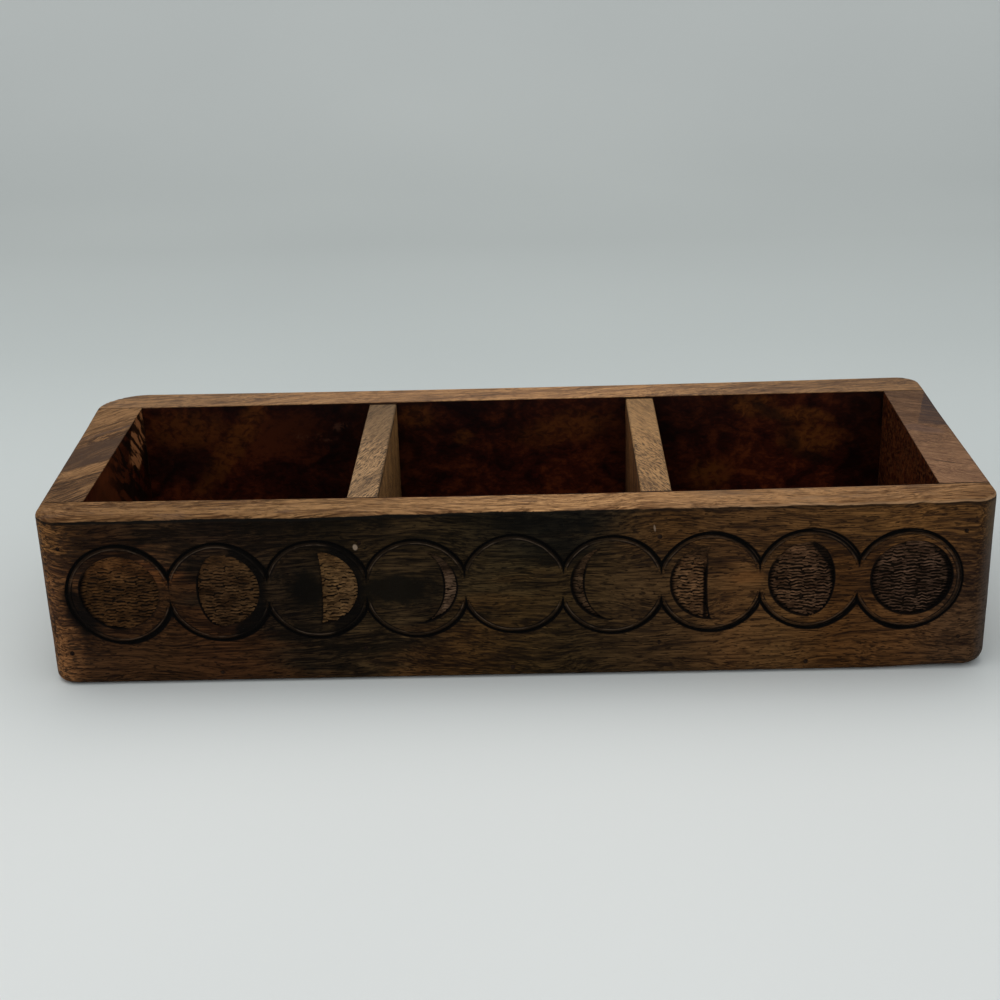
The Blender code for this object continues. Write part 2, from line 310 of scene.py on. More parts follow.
# Patches on an upright face: place along and up, half size along and up, turn, raggedness, softness, strength
INK_PATCHES = (
    (-69.0, 35.0, 7.0, 7.0, 0.0, 1.0, 0.5, 1.0),
    (-39.0, 34.5, 15.0, 6.5, 0.0, 1.2, 0.5, 1.0),
    (9.0, 57.5, 25.0, 4.0, 3.0, 1.4, 0.6, 0.8),
    (18.0, 48.0, 14.0, 5.0, 0.0, 1.4, 0.6, 0.75),
    (-72.0, 59.4, 34.0, 3.9, 0.0, 1.4, 0.6, 0.8),
)
WARM_PATCH = (-119.0, 45.5, 8.0, 6.5, 0.0, 0.9, 0.4, 1.0)
GLOW_PATCH = (80.0, 36.5, 5.5, 2.2, 0.0, 1.4, 0.5, 0.3)
# A painted shadow low on the left of the front face
LOWER_LEFT_SHADOW_PATCH = (-147.0, 28.0, 4.6, 10.0, -22.0, 0.7, 0.35, 0.9)
FLECKS = (
    (-51.6, 50.5, 0.72, 0.95, -8.0, 0.9, 0.3, 1.0),
    (48.7, 55.2, 0.34, 1.20, -8.0, 0.9, 0.3, 1.0),
)
AMBER_PATCHES = (
    (-129.0, 53.0, 17.0, 7.5, 0.0, 1.2, 0.5, 0.5),
    (-112.0, 45.0, 5.0, 26.0, 37.0, 1.2, 0.4, 0.62),
    (-38.0, 57.0, 7.0, 4.0, 0.0, 1.2, 0.5, 0.55),
    (-19.0, 48.0, 4.0, 3.0, 0.0, 1.2, 0.5, 0.5),
    (22.0, 51.0, 16.0, 5.5, -10.0, 1.4, 0.6, 0.6),
    (95.0, 58.5, 8.0, 4.0, 0.0, 1.4, 0.5, 0.8),
    (113.0, 54.0, 13.0, 3.2, 6.0, 1.4, 0.5, 0.9),
    (119.0, 44.0, 11.0, 6.5, 0.0, 1.4, 0.5, 0.9),
    (78.0, 30.0, 8.0, 5.5, 0.0, 1.2, 0.5, 0.8),
)
KNOTS = (
    (111.0, 43.0, 3.2, 4.4, -25.0, 2.4, 0.5, 1.0),
    (119.0, 36.5, 7.0, 2.4, 15.0, 2.2, 0.6, 1.0),
    (101.0, 56.0, 9.0, 2.2, 30.0, 2.4, 0.6, 1.0),
    (-132.0, 38.0, 13.0, 8.0, 0.0, 0.9, 0.4, 0.8),
)
SCUFFS = (
    (-79.0, 49.5, 7.5, 1.3, 5.0, 1.8, 0.6, 1.0),
    (-67.5, 53.5, 3.0, 1.5, -15.0, 1.8, 0.6, 1.0),
)


class Finish(Graph):
    """A wood's shader tree, with the part's own coordinates in millimetres."""

    def __init__(self, name):
        self.material = bpy.data.materials.new(name)
        self.material.use_nodes = True
        super().__init__(self.material.node_tree)
        coords = self.node("ShaderNodeTexCoord").outputs["Object"]
        self.mm = self.scaled(coords, (1 / MM, 1 / MM, 1 / MM))
        self.x, self.y, self.z = self.separate(self.mm)
        self.rough = self.spread(4.0, detail=4.0)

    def spread(self, size, detail=3.0, roughness=0.55):
        """Noise whose features are as big as the given size in millimetres, along each axis or all."""
        sizes = size if isinstance(size, tuple) else (size, size, size)
        return self.noise(self.vector_math("DIVIDE", self.mm, sizes), 1.0, detail, roughness)

    def grain(self, turn, shift, bend=1.6):
        """Place in the wood in centimetres: X along the grain, which is squeezed, and gently wandering."""
        heading = {"Vector": self.mm, "Location": shift, "Scale": (0.1, 0.1, 0.1)}
        heading["Rotation"] = tuple(math.radians(angle) for angle in turn)
        turned = self.node("ShaderNodeMapping", heading).outputs[0]
        wander = self.noise(self.scaled(turned, (0.25, 0.5, 0.5)), 0.6, detail=2.0)
        sway = self.times(self.minus(wander, 0.5), bend)
        return self.scaled(self.vector_math("ADD", turned, self.combine(0.0, sway, sway)), (0.09, 1.0, 1.0))

    def patch(self, centre, size, turn=0.0, axis=(0, 0, 1), ragged=0.5, soft=0.12, square=False):
        """1 within a round or square patch of the part in millimetres, with a ragged edge, and 0 outside."""
        away = self.vector_math("SUBTRACT", self.mm, centre)
        if turn:
            about = {"Vector": away, "Axis": axis, "Angle": math.radians(-turn)}
            away = self.node("ShaderNodeVectorRotate", about).outputs[0]
        away = self.vector_math("DIVIDE", away, size)
        if square:
            reach = self.either(*self.separate(self.vector_math("ABSOLUTE", away)))
        else:
            reach = self.length(away)
        reach = self.plus(reach, self.times(self.minus(self.rough, 0.5), ragged))
        return self.smooth(reach, 1 - soft, 1 + soft, 1.0, 0.0)

    def patches(self, depth, patches):
        """The strongest of several patches on the upright face at that depth."""
        found = []
        for x, z, wide, tall, turn, ragged, soft, strength in patches:
            shape = self.patch((x, depth, z), (wide, PATCH_REACH, tall), turn, ABOUT_Y, ragged, soft)
            found.append(self.both(shape, strength))
        return self.either(*found)

    def along(self, value, stops):
        """Tones along one of the coordinates, from (millimetres, tone) pairs."""
        low, high = stops[0][0], stops[-1][0]
        tones = [(at, tone if isinstance(tone, tuple) else (tone,) * 3) for at, tone in stops]
        tones = [((at - low) / (high - low), tone) for at, tone in tones]
        return self.ramp(self.share(value, low, high), tones)

    def tinted(self, colour, tint):
        return self.mix(1.0, colour, tint, "MULTIPLY")

    def wood(self, place, light, mid, dark, fineness=1.0, veins=0.6, pores=0.6):
        """Colour and height of wood: broad tone, fine streaks, long dark threads, pores and fibres."""
        broad = self.noise(place, 0.9 * fineness, detail=2.0)
        band = self.noise(place, 5.0 * fineness, roughness=0.6)
        lines = self.noise(self.scaled(place, (0.6, 1.0, 1.0)), 17.0 * fineness)
        tone = self.plus(self.times(band, 0.30), self.times(broad, 0.26), self.times(lines, 0.44))
        colour = self.ramp(tone, [(0.42, dark), (0.49, mid), (0.56, light)])
        long = self.noise(self.scaled(place, (0.45, 1.0, 1.0)), 14.0 * fineness, detail=2.0)
        thread = self.smooth(long, 0.565, 0.625, 0.0, veins)
        in_places = self.smooth(self.noise(place, 1.7 * fineness, detail=2.0), 0.44, 0.58, 0.15, 1.0)
        short = self.noise(self.scaled(place, (2.4, 1.0, 1.0)), 16.0 * fineness, detail=1.5)
        marks = self.either(self.times(thread, in_places), self.smooth(short, 0.59, 0.65, 0.0, pores))
        colour = self.mix(marks, colour, tuple(0.42 * c for c in dark))
        fibre = self.noise(place, 32.0, detail=2.0)
        shade = self.smooth(fibre, 0.3, 0.7, 0.76, 1.22)
        even = self.node("ShaderNodeCombineColor", {0: shade, 1: shade, 2: shade}).outputs[0]
        return self.tinted(colour, even), self.minus(self.times(fibre, 0.5), marks)

    def strokes(self, place, fineness, much, strength):
        """Short dark pore strokes along the grain."""
        fine = self.noise(self.scaled(place, (1.5, 1.0, 1.0)), fineness, detail=0.5)
        return self.smooth(fine, much - 0.03, much + 0.03, 0.0, strength)

    def moon_away(self):
        """Distances in millimetres right of and above the nearest moon's even place."""
        along = self.minus(self.x, FIRST_MOON / MM)
        share = self.over(along, MOON_PITCH / MM)
        share = self.math("MINIMUM", self.either(share, 0.0), MOON_COUNT - 1.0)
        nearest = self.times(self.math("ROUND", share), MOON_PITCH / MM)
        return self.minus(along, nearest), self.minus(self.z, BAND_HEIGHT / MM)

    def burl(self, shift=(0, 0, 0)):
        """The glossy red-brown figure of the insides, and its mottling."""
        moved = self.vector_math("ADD", self.mm, shift)
        layers = [
            self.noise(self.vector_math("DIVIDE", moved, size), 1.0, detail, 0.6, distortion)
            for size, detail, distortion in (
                ((17.0, 17.0, 13.0), 5.0, 1.4), ((3.4, 3.4, 2.4), 4.0, 0.8), ((1.5, 1.5, 0.8), 2.0, 0.3)
            )
        ]
        tone = self.plus(*(self.times(layer, part) for layer, part in zip(layers, (0.56, 0.28, 0.16))))
        dark, mid, light = (0.0095, 0.0013, 0.0007), (0.031, 0.0050, 0.0016), (0.080, 0.0165, 0.0040)
        return self.ramp(tone, [(0.40, dark), (0.50, mid), (0.60, light)]), layers[1]

    def groove_line(self, off, bold):
        """The black bottom of a groove, from the distance to its line in millimetres."""
        share = self.over(self.absolute(off), self.plus(self.times(bold, 0.55), 0.36))
        return self.smooth(share, 0.70, 1.25, 1.0, 0.0)

    def board_finish(self, rim, rim_height, face, face_height, inner, inside, shine=0.06):
        """The common end of a board's finish: rim above, outer face and inner face below."""
        colour = self.mix(inside, face, inner)
        uneven = self.times(self.minus(self.spread((9.0, 9.0, 40.0)), 0.5), 1.3)
        edge = self.plus(62.0, self.times(uneven, self.minus(1.0, inside)), self.times(inside, 1.15))
        top = self.smooth(self.minus(self.plus(self.z, self.attribute("sag")), edge), -0.10, 0.20)
        colour = self.mix(top, colour, rim)
        gloss = self.times(inside, self.minus(1.0, top), 0.2)
        height = self.mix(inside, face_height, self.times(self.rough, 0.6))
        self.done(colour, self.minus(0.6, gloss), self.mix(top, height, rim_height), 0.13 * MM, shine)
        return self.material

    def done(self, colour, roughness, height=None, bump=0.1 * MM, shine=0.15):
        shader = self.node("ShaderNodeBsdfPrincipled", {"Base Color": colour, "Roughness": roughness})
        shader.inputs["Specular IOR Level"].default_value = shine
        if height is not None:
            relief = self.node("ShaderNodeBump", {"Height": height, "Distance": bump, "Strength": 1.0})
            self.put(shader.inputs["Normal"], relief.outputs["Normal"])
        output = self.node("ShaderNodeOutputMaterial")
        self.tree.links.new(shader.outputs["BSDF"], output.inputs["Surface"])
        return shader


def hued(stops, green, blue):
    """Plain tones given a hue: their green and blue as shares of their red."""
    return [(at, (tone, green * tone, blue * tone)) for at, tone in stops]


def front_rim(g, place):
    woods = (0.480, 0.262, 0.112), (0.305, 0.160, 0.067), (0.140, 0.065, 0.026)
    rim, height = g.wood(place, *woods, veins=0.55)
    tones = [
        (-163, (0.54, 0.50, 0.48)), (-110, (0.60, 0.57, 0.54)), (-60, (0.66, 0.64, 0.62)),
        (-15, (0.97, 0.95, 0.95)), (40, (0.97, 0.94, 0.94)), (80, (0.74, 0.69, 0.67)),
        (110, (0.74, 0.69, 0.67)), (150, (0.67, 0.63, 0.62)), (163, (0.58, 0.54, 0.52)),
    ]
    rim = g.tinted(rim, g.along(g.x, tones))
    smudge = g.both(g.smooth(g.spread((16.0, 4.0, 4.0)), 0.56, 0.68), 0.45)
    return g.mix(smudge, rim, (0.085, 0.046, 0.030)), height


def front_stain(g, place):
    """The front face before it was carved: brown at both ends, with a near-black heart between."""
    woods = (0.190, 0.090, 0.029), (0.108, 0.050, 0.016), (0.038, 0.018, 0.008)
    face, height = g.wood(place, *woods, 1.0, 0.7, 0.75)
    woods = (0.042, 0.026, 0.012), (0.018, 0.011, 0.0055), (0.0055, 0.0036, 0.0022)
    olive, _ = g.wood(place, *woods, 1.0, 0.8, 0.7)
    wander = g.times(g.minus(g.spread((60.0, 9.0, 9.0), detail=4.0, roughness=0.65), 0.5), 80.0)
    west = g.smooth(g.plus(g.x, wander, g.times(g.minus(g.z, 40.0), 1.2)), -124.0, -102.0)
    east = g.smooth(g.minus(g.plus(g.x, wander), g.times(g.minus(g.z, 36.0), 1.4)), -14.0, 18.0)
    heart = g.both(west, g.minus(1.0, east))
    stain = [
        (-163, (1.65, 1.6, 1.5)), (-155, (1.6, 1.5, 1.4)), (-146, (0.42, 0.40, 0.40)),
        (-100, (0.38, 0.36, 0.38)), (20, (0.30, 0.32, 0.36)), (58, (0.52, 0.55, 0.6)),
        (92, (0.86, 0.88, 0.9)), (140, (0.92, 0.88, 0.88)), (154, (0.84, 0.82, 0.84)),
        (163, (0.45, 0.47, 0.5)),
    ]
    face = g.tinted(face, g.along(g.x, stain))
    dull = g.both(g.smooth(g.x, 132.0, 148.0), g.smooth(g.z, 44.0, 26.0, 0.0, 0.75))
    face = g.mix(dull, face, g.tinted(face, (0.70, 0.78, 1.0)))
    sanded = g.smooth(g.absolute(g.x), 157.0, 161.5, 0.0, 0.75)
    face = g.mix(sanded, face, (0.090, 0.064, 0.044))
    face = g.mix(heart, face, olive)

    clouds = g.smooth(g.spread((26.0, 8.0, 7.0), detail=4.0), 0.46, 0.60)
    clouds = g.both(heart, clouds, g.smooth(g.x, -30.0, -20.0, 0.6, 0.15))
    ink = g.either(g.patches(FACE_Y, INK_PATCHES), clouds)
    face = g.mix(ink, face, (0.0042, 0.0032, 0.0020))
    above = [
        (-163, (1.1, 1.1, 1.1)), (-150, (1.0, 1.0, 1.1)), (-139, (0.62, 0.60, 0.72)),
        (-118, (1.5, 1.22, 1.1)), (-99, (1.0, 0.82, 0.85)), (-60, (0.86, 0.8, 0.68)), (-36, (1.3, 1.2, 1.0)),
        (-18, (1.0, 1.0, 0.85)), (8, (0.72, 0.84, 0.95)), (27, (0.72, 0.88, 1.1)), (40, (1.10, 1.10, 1.10)),
        (54, (1.15, 1.02, 0.86)), (70, (0.9, 0.84, 0.84)), (84, (0.82, 0.76, 0.76)),
        (110, (0.84, 0.80, 0.76)), (120, (1.03, 1.0, 0.92)), (163, (1.0, 0.97, 0.9)),
    ]
    below = [
        (-163, (0.95, 0.9, 1.0)), (-150, (0.88, 0.85, 1.05)), (-118, (0.85, 0.80, 0.85)),
        (-100, (0.95, 0.82, 0.85)), (-72, (0.85, 0.8, 0.8)), (-50, (1.4, 1.3, 1.1)), (-38, (1.7, 1.6, 1.4)),
        (-27, (1.05, 1.0, 0.9)),
        (-14, (1.45, 1.4, 1.15)), (5, (1.2, 1.3, 1.15)), (20, (0.95, 1.08, 1.1)), (45, (0.95, 1.0, 1.1)),
        (60, (0.9, 0.9, 0.95)), (75, (1.0, 0.92, 0.92)), (90, (0.86, 0.83, 0.83)), (110, (0.63, 0.54, 0.45)),
        (163, (0.82, 0.82, 0.95)),
    ]
    face = g.tinted(face, g.mix(g.smooth(g.z, 43.0, 51.0), g.along(g.x, below), g.along(g.x, above)))
    face = g.mix(g.patches(FACE_Y, [WARM_PATCH]), face, g.tinted(face, (3.1, 2.7, 2.3)))
    face = g.mix(g.patches(FACE_Y, [GLOW_PATCH]), face, (0.200, 0.075, 0.020))
    far_left = g.smooth(g.x, -150.0, -137.0, 0.85, 0.0)
    low_right = g.both(g.smooth(g.x, 134.0, 146.0), g.smooth(g.z, 40.0, 24.0), 0.7)
    comb = g.both(g.smooth(g.spread((3.2, 2.0, 0.75)), 0.52, 0.60), g.either(far_left, low_right))
    return g.mix(comb, face, (0.018, 0.010, 0.006)), height


def carved_tones(g, face):
    """The carving's dark lines, worn crests, and painted shade on the sunk grounds and their walls, from
    distances that come with the mesh.
    """
    limb, ring, crossing = (g.attribute(name) for name in ("limb", "ring", "crossing"))
    right, up = g.moon_away()
    bold = g.along(g.x, [(-163, 0.75), (-95, 0.65), (-62, 0.42), (40, 0.42), (62, 0.8), (163, 1.0)])
    wide_right = g.smooth(right, -6.0, 8.0, 0.55, g.smooth(g.x, -118.0, -112.0, 1.7, 1.25))
    wide_left = g.smooth(right, -6.0, 8.0, 1.15, 0.50)
    bold = g.times(bold, g.mix(g.smooth(g.x, 124.0, 128.0), wide_right, wide_left))
    stem = g.both(g.near(crossing, ring, 0.4, 1.0), g.within(ring, (-1.45, -0.9), (0.1, 0.4)))
    next_line = g.both(g.groove_line(crossing, bold), g.smooth(ring, -1.3, -0.5))
    line = g.either(g.groove_line(ring, bold), next_line, stem)

    # Between a ring's line and its inner second line: a brown channel and a broken, worn crest
    alone = g.smooth(crossing, 0.1, 1.2)
    broken = g.smooth(g.spread(5.0), 0.42, 0.58, 0.15, 1.0)
    ragged = g.plus(g.times(g.minus(g.rough, 0.5), 0.6), 1.26)
    crest_tone = g.along(g.x, [(-163, 0.3), (-110, 0.6), (-70, 0.8), (40, 0.7), (70, 0.35), (163, 0.45)])
    worn = g.both(g.near(g.plus(ring, ragged), 0.0, 0.08, 0.26), crest_tone, alone, broken)
    channel = g.both(g.within(ring, (-1.5, -1.2), (0.1, 0.4)), alone)
    thin = g.both(alone, g.near(ring, -1.66, 0.12, 0.34))
    in_places = g.smooth(g.spread(9.0, detail=2.0), 0.42, 0.56)
    face = g.mix(g.both(channel, 0.72), face, (0.012, 0.007, 0.004))
    face = g.mix(g.both(thin, g.either(in_places, 0.45), 0.9), face, (0.006, 0.004, 0.003))
    face = g.mix(g.both(worn, 0.62), face, (0.125, 0.086, 0.058))
    face = g.mix(line, face, (0.0016, 0.0012, 0.0010))
    seam = g.both(g.near(ring, -0.2, 0.08, 0.24), alone, in_places)
    seam = g.both(seam, g.smooth(right, -2.0, 4.0), g.smooth(g.x, 50.0, 70.0), 0.5)
    face = g.mix(seam, face, (0.045, 0.027, 0.018))

    # Painted shade: the sunk grounds darker, most low down where they sink deepest, and near-black along
    # their walls
    ground = g.smooth(limb, -0.25, 0.15, 1.0, 0.0)
    face = g.mix(g.both(ground, g.smooth(up, 5.0, 12.5, 0.95, 0.45)), face, (0.013, 0.0075, 0.0045))
    crisp = g.either(g.smooth(right, -3.0, 3.0, 1.0, 0.2), g.smooth(g.x, -70.0, -55.0))
    crisp = g.either(crisp, g.near(g.x, -80.0, 3.0, 6.0))
    lower = g.either(g.smooth(up, 4.0, 11.0, 1.0, 0.0), 0.12)
    wall = g.both(g.near(limb, 0.0, 0.25, 0.62, 0.94), lower, crisp)
    # A painted shadow wedge inside the right edges of moons 8 and 9, wider low down
    wedge = g.smooth(g.plus(limb, g.smooth(up, 12.0, 0.0, 0.2, 2.6)), -0.3, 0.3)
    wedge = g.both(wedge, g.smooth(limb, 0.1, 0.5, 1.0, 0.0))
    wedge = g.both(wedge, g.smooth(g.x, 86.0, 92.0), g.smooth(right, 1.0, 5.0))
    # Painted shade between the right edges of the grounds of moons 2 and 3 and their rings
    right_limb_shade = g.both(g.smooth(limb, -0.5, 0.3), g.near(right, 10.0, 4.0, 7.5, 0.9))
    right_limb_shade = g.both(right_limb_shade, g.smooth(ring, -0.6, 0.1, 1.0, 0.0), g.within(g.x, (-108.0, -98.0), (-46.0, -40.0)))
    # Painted shadow low on the left of the face
    lower_left_shadow = g.patches(FACE_Y, [LOWER_LEFT_SHADOW_PATCH])
    return g.mix(g.either(wall, wedge, right_limb_shade, lower_left_shadow), face, PAINTED_SHADE_BLACK)


def front_wood():
    """Front board: sanded rim, stained and carved face, and a burl figure inside."""
    g = Finish("front wood")
    place = g.grain((0, 0, 0), (0.3, 0.1, 0.0))
    rim, rim_height = front_rim(g, place)
    face, face_height = front_stain(g, place)
    face = carved_tones(g, face)
    fleck = g.both(g.patches(FACE_Y, FLECKS), g.smooth(g.x, -10.0, 10.0, 0.75, 0.45))
    face = g.mix(fleck, face, (0.33, 0.24, 0.17))

    # The sanded rim ends in a crisp, uneven line, with a dark one under it
    uneven = g.plus(g.times(g.spread((14.0, 6.0, 40.0), detail=4.0), 1.7), -0.85)
    inside = g.smooth(g.y, -50.3, -49.7)
    arris = g.along(g.x, [(-163, 0.496), (-60, 0.498), (-10, 0.504), (60, 0.502), (163, 0.498)])
    edge = g.plus(g.times(arris, 125.0), g.times(inside, 1.2), g.times(uneven, g.minus(1.0, inside)))
    drop = g.minus(g.plus(g.z, g.attribute("sag")), edge)
    top = g.smooth(drop, -0.10, 0.22)
    line_tone = [(-163, 0.75), (-148, 0.95), (-55, 0.95), (-25, 0.65), (60, 0.5), (163, 0.55)]
    face = g.mix(g.both(g.smooth(drop, -1.5, -0.45), g.along(g.x, line_tone)), face, (0.006, 0.005, 0.004))
    # A painted highlight along the rounded front edge of the rim, on its right half
    edge_highlight = g.both(g.smooth(drop, 1.1, 0.25, 0.0, 1.0), g.smooth(g.x, 40.0, 90.0, 0.0, 0.5))
    rim = g.mix(edge_highlight, rim, (0.42, 0.25, 0.13))

    inner, _ = g.burl()
    colour = g.mix(inside, face, g.tinted(inner, (0.8, 0.8, 0.8)))
    colour = g.mix(top, colour, rim)
    height = g.mix(top, face_height, rim_height)
    g.done(colour, g.smooth(g.rough, 0.3, 0.7, 0.52, 0.7), height, 0.14 * MM, shine=0.034)
    return g.material


def left_end_wood():
    """Left end: brown grain across the rim with a dark greyish band, mottled inside."""
    g = Finish("left end wood")
    place = g.grain((0, 0, -52), (0.4, 2.3, 0.2), bend=2.4)
    woods = (0.365, 0.200, 0.093), (0.225, 0.118, 0.055), (0.085, 0.043, 0.022)
    rim, rim_height = g.wood(place, *woods, 0.85, 0.7)
    tones = [(-64, 0.58), (-40, 0.66), (-14, 0.76), (16, 0.74), (40, 0.74), (64, 0.74)]
    rim = g.tinted(rim, g.along(g.y, hued(tones, 0.94, 0.84)))
    band = g.patch((-153.6, -3.8, 62.0), (60.0, 9.6, 9.0), turn=42.0, ragged=0.6, soft=0.18, square=True)
    grey = g.smooth(g.noise(place, 4.0, detail=4.0), 0.40, 0.64, 1.0, 0.70)
    rim = g.mix(g.both(band, grey), rim, (0.068, 0.036, 0.021))
    streak = g.patch((-152.0, 20.0, 62.0), (60.0, 1.1, 9.0), turn=44.0, ragged=1.8, soft=0.4, square=True)
    rim = g.mix(g.both(streak, 0.5), rim, (0.075, 0.045, 0.035))

    face_place = g.grain((18, 0, -90), (1.4, 0.3, 0.2))
    face, face_height = g.wood(face_place, STAIN_LIGHT, STAIN_MID, STAIN_DARK, 1.0, 0.7)
    inner, _ = g.burl((40.0, 11.0, 0.0))
    tan = g.patch((-145.0, 35.0, 54.0), (9.0, 15.0, 9.5), ragged=1.2, soft=0.15)
    inner = g.mix(g.both(tan, 0.8), inner, (0.430, 0.170, 0.064))
    ember = g.patch((-145.0, -12.0, 40.0), (9.0, 30.0, 30.0), ragged=1.2, soft=0.5)
    inner = g.mix(g.both(ember, 0.45), inner, (0.115, 0.032, 0.010))
    slash = g.noise(g.scaled(g.grain((38, 0, -90), (0.2, 0.9, 0.1)), (1.6, 1.0, 1.0)), 3.4)
    slash = g.both(g.smooth(slash, 0.47, 0.52), g.smooth(g.y, -30.0, 8.0), 0.94)
    inner = g.mix(slash, inner, (0.005, 0.003, 0.002))
    return g.board_finish(rim, rim_height, face, face_height, inner, g.smooth(g.x, -146.4, -145.8))


def right_end_wood():
    """Right end: pinkish grain across the rim, a purple-grey patch and a short crack."""
    g = Finish("right end wood")
    place = g.grain((0, 0, 28), (3.1, 1.2, 0.9), bend=2.4)
    woods = (0.310, 0.168, 0.090), (0.232, 0.122, 0.066), (0.150, 0.076, 0.044)
    rim, rim_height = g.wood(place, *woods, 1.25, 0.35, 0.35)
    tones = [(-64, 0.87), (-30, 0.84), (10, 0.66), (46, 0.46), (64, 0.42)]
    rim = g.tinted(rim, g.along(g.y, hued(tones, 0.96, 0.92)))
    grey = g.patch((161.8, 25.9, 62.0), (6.0, 18.5, 9.0), turn=-15.8, ragged=0.25, soft=0.04, square=True)
    grey = g.both(grey, g.smooth(g.noise(place, 5.0), 0.4, 0.6, 0.95, 0.55))
    grey = g.both(grey, g.smooth(g.x, 150.0, 158.0, 0.6, 1.0))
    rim = g.mix(grey, rim, (0.048, 0.030, 0.026))
    tongue = g.patch((151.0, 4.0, 62.0), (8.0, 3.4, 9.0), turn=-32.0, ragged=0.9, soft=0.2)
    rim = g.mix(g.both(tongue, 0.45), rim, (0.105, 0.060, 0.048))
    crack = g.patch((153.0, -30.0, 62.0), (5.8, 0.32, 9.0), turn=-27.0, ragged=0.8, soft=0.4)
    rim = g.mix(g.both(crack, 0.9), rim, (0.020, 0.010, 0.008))

    face_place = g.grain((-14, 0, -90), (0.4, 1.3, 0.2))
    face, face_height = g.wood(face_place, STAIN_LIGHT, STAIN_MID, STAIN_DARK, 1.0, 0.7)
    inner, _ = g.burl((0.0, 55.0, 20.0))
    cross = g.noise(g.grain((35, 0, 0), (0.2, 0.9, 0.1), bend=2.0), 7.0, detail=4.0)
    inner = g.mix(g.smooth(cross, 0.46, 0.54, 0.75, 0.0), inner, (0.112, 0.035, 0.011))
    strokes = g.strokes(g.grain((35, 0, 0), (0.9, 0.2, 0.1)), 9.0, 0.56, 0.8)
    inner = g.mix(strokes, inner, (0.008, 0.003, 0.002))
    return g.board_finish(rim, rim_height, face, face_height, inner, g.smooth(g.x, 146.1, 146.7, 1.0, 0.0))


def back_wood():
    """Back board: sanded rim, brown outside, and a glossy red-brown inner face with golden areas."""
    g = Finish("back wood")
    place = g.grain((0, 0, -9), (1.7, 0.6, 0.4), bend=2.2)
    woods = (0.445, 0.245, 0.110), (0.285, 0.150, 0.068), (0.140, 0.070, 0.033)
    rim, rim_height = g.wood(place, *woods, veins=0.5)
    tones = [(-163, 0.66), (-120, 0.70), (-60, 0.92), (20, 1.14), (60, 0.98), (110, 0.78), (163, 0.62)]
    rim = g.tinted(rim, g.along(g.x, hued(tones, 0.93, 0.82)))
    woods = (0.215, 0.108, 0.046), (0.125, 0.062, 0.028), (0.036, 0.019, 0.011)
    face, face_height = g.wood(g.grain((0, 0, 0), (1.1, 0.6, 0.4)), *woods, 1.0, 0.7)

    inner, mottle = g.burl()
    dim = [
        (-146, 0.9), (-112, 0.75), (-92, 0.6), (-76, 0.40), (-60, 0.35), (-40, 0.55), (0, 0.75), (28, 0.95),
        (46, 0.4), (62, 0.55), (84, 0.75), (100, 1.15), (124, 1.05), (134, 0.45), (142, 0.3),
    ]
    inner = g.tinted(inner, g.along(g.x, dim))
    inner = g.tinted(inner, g.along(g.z, [(20, 1.9), (34, 1.6), (50, 1.05), (63, 0.9)]))
    amber = g.both(g.patches(BACK_INNER_Y, AMBER_PATCHES), g.smooth(mottle, 0.36, 0.60, 0.2, 1.0))
    inner = g.mix(amber, inner, (0.125, 0.036, 0.0060))
    inner = g.mix(g.both(g.patches(BACK_INNER_Y, KNOTS), 0.72), inner, (0.007, 0.003, 0.002))
    scuffed = g.both(g.patches(BACK_INNER_Y, SCUFFS), g.smooth(mottle, 0.45, 0.6), 0.5)
    inner = g.mix(scuffed, inner, (0.115, 0.048, 0.028))
    inside = g.smooth(g.y, 47.6, 48.2, 1.0, 0.0)
    return g.board_finish(rim, rim_height, face, face_height, inner, inside, shine=0.2)


# Each divider's top: grain turn and shift, bend, woods, tones along the depth, veins and pores, strokes and
# where they start, stroke colour, and the tint of its faces
DIVIDER_TOPS = {
    "left": (
        -68, 0.7, 1.2, ((0.415, 0.240, 0.112), (0.300, 0.171, 0.078), (0.162, 0.090, 0.042)),
        [(-50, 1.05), (0, 1.0), (16, 0.60), (50, 0.40)], (0.25, 0.3), (27.0, 0.57), (2.0, 18.0),
        (0.048, 0.027, 0.015), (1.4, 1.5, 1.5),
    ),
    "right": (
        66, 4.7, 1.0, ((0.470, 0.255, 0.102), (0.375, 0.200, 0.080), (0.230, 0.118, 0.048)),
        [(-50, 0.84), (0, 0.84), (20, 0.76), (50, 0.66)], (0.1, 0.2), (24.0, 0.565), (-4.0, 16.0),
        (0.070, 0.037, 0.018), (0.72, 0.64, 0.6),
    ),
}


def divider_wood(side):
    """Dividers: pale sanded tops with dark pores, olive-brown faces that darken towards the floor."""
    g = Finish(f"{side} divider wood")
    turn, shift, bend, woods, tones, marks, fine, fading, stroke_tone, face_tint = DIVIDER_TOPS[side]
    place = g.grain((0, 0, turn), (shift, 0.3, 0.1), bend=bend)
    top, top_height = g.wood(place, *woods, 1.3, *marks)
    strokes = g.both(g.strokes(place, *fine, 0.85), g.smooth(g.y, *fading, 1.0, 0.35))
    top = g.tinted(g.mix(strokes, top, stroke_tone), g.along(g.y, tones))
    face_place = g.grain((0, 78, 0), (0.4, 0.3, 0.9), bend=2.0)
    woods = (0.300, 0.140, 0.046), (0.195, 0.086, 0.028), (0.070, 0.031, 0.011)
    face, face_height = g.wood(face_place, *woods, 1.0, 0.6)
    face = g.tinted(face, g.along(g.z, [(8, 0.45), (40, 0.8), (58, 1.05), (63, 1.2)]))
    face = g.tinted(face, face_tint)
    raised = g.plus(g.z, g.attribute("sag"))
    level = g.smooth(raised, 61.7, 62.4)
    # A painted shadow line on the faces just under the rounded top edge
    arris = g.both(g.smooth(raised, 59.8, 61.2), g.smooth(g.spread((3.0, 9.0, 3.0)), 0.38, 0.55, 0.3, 0.85))
    colour = g.mix(level, g.mix(arris, face, (0.030, 0.016, 0.008)), top)
    g.done(colour, 0.62, g.mix(level, face_height, top_height), 0.16 * MM)
    return g.material


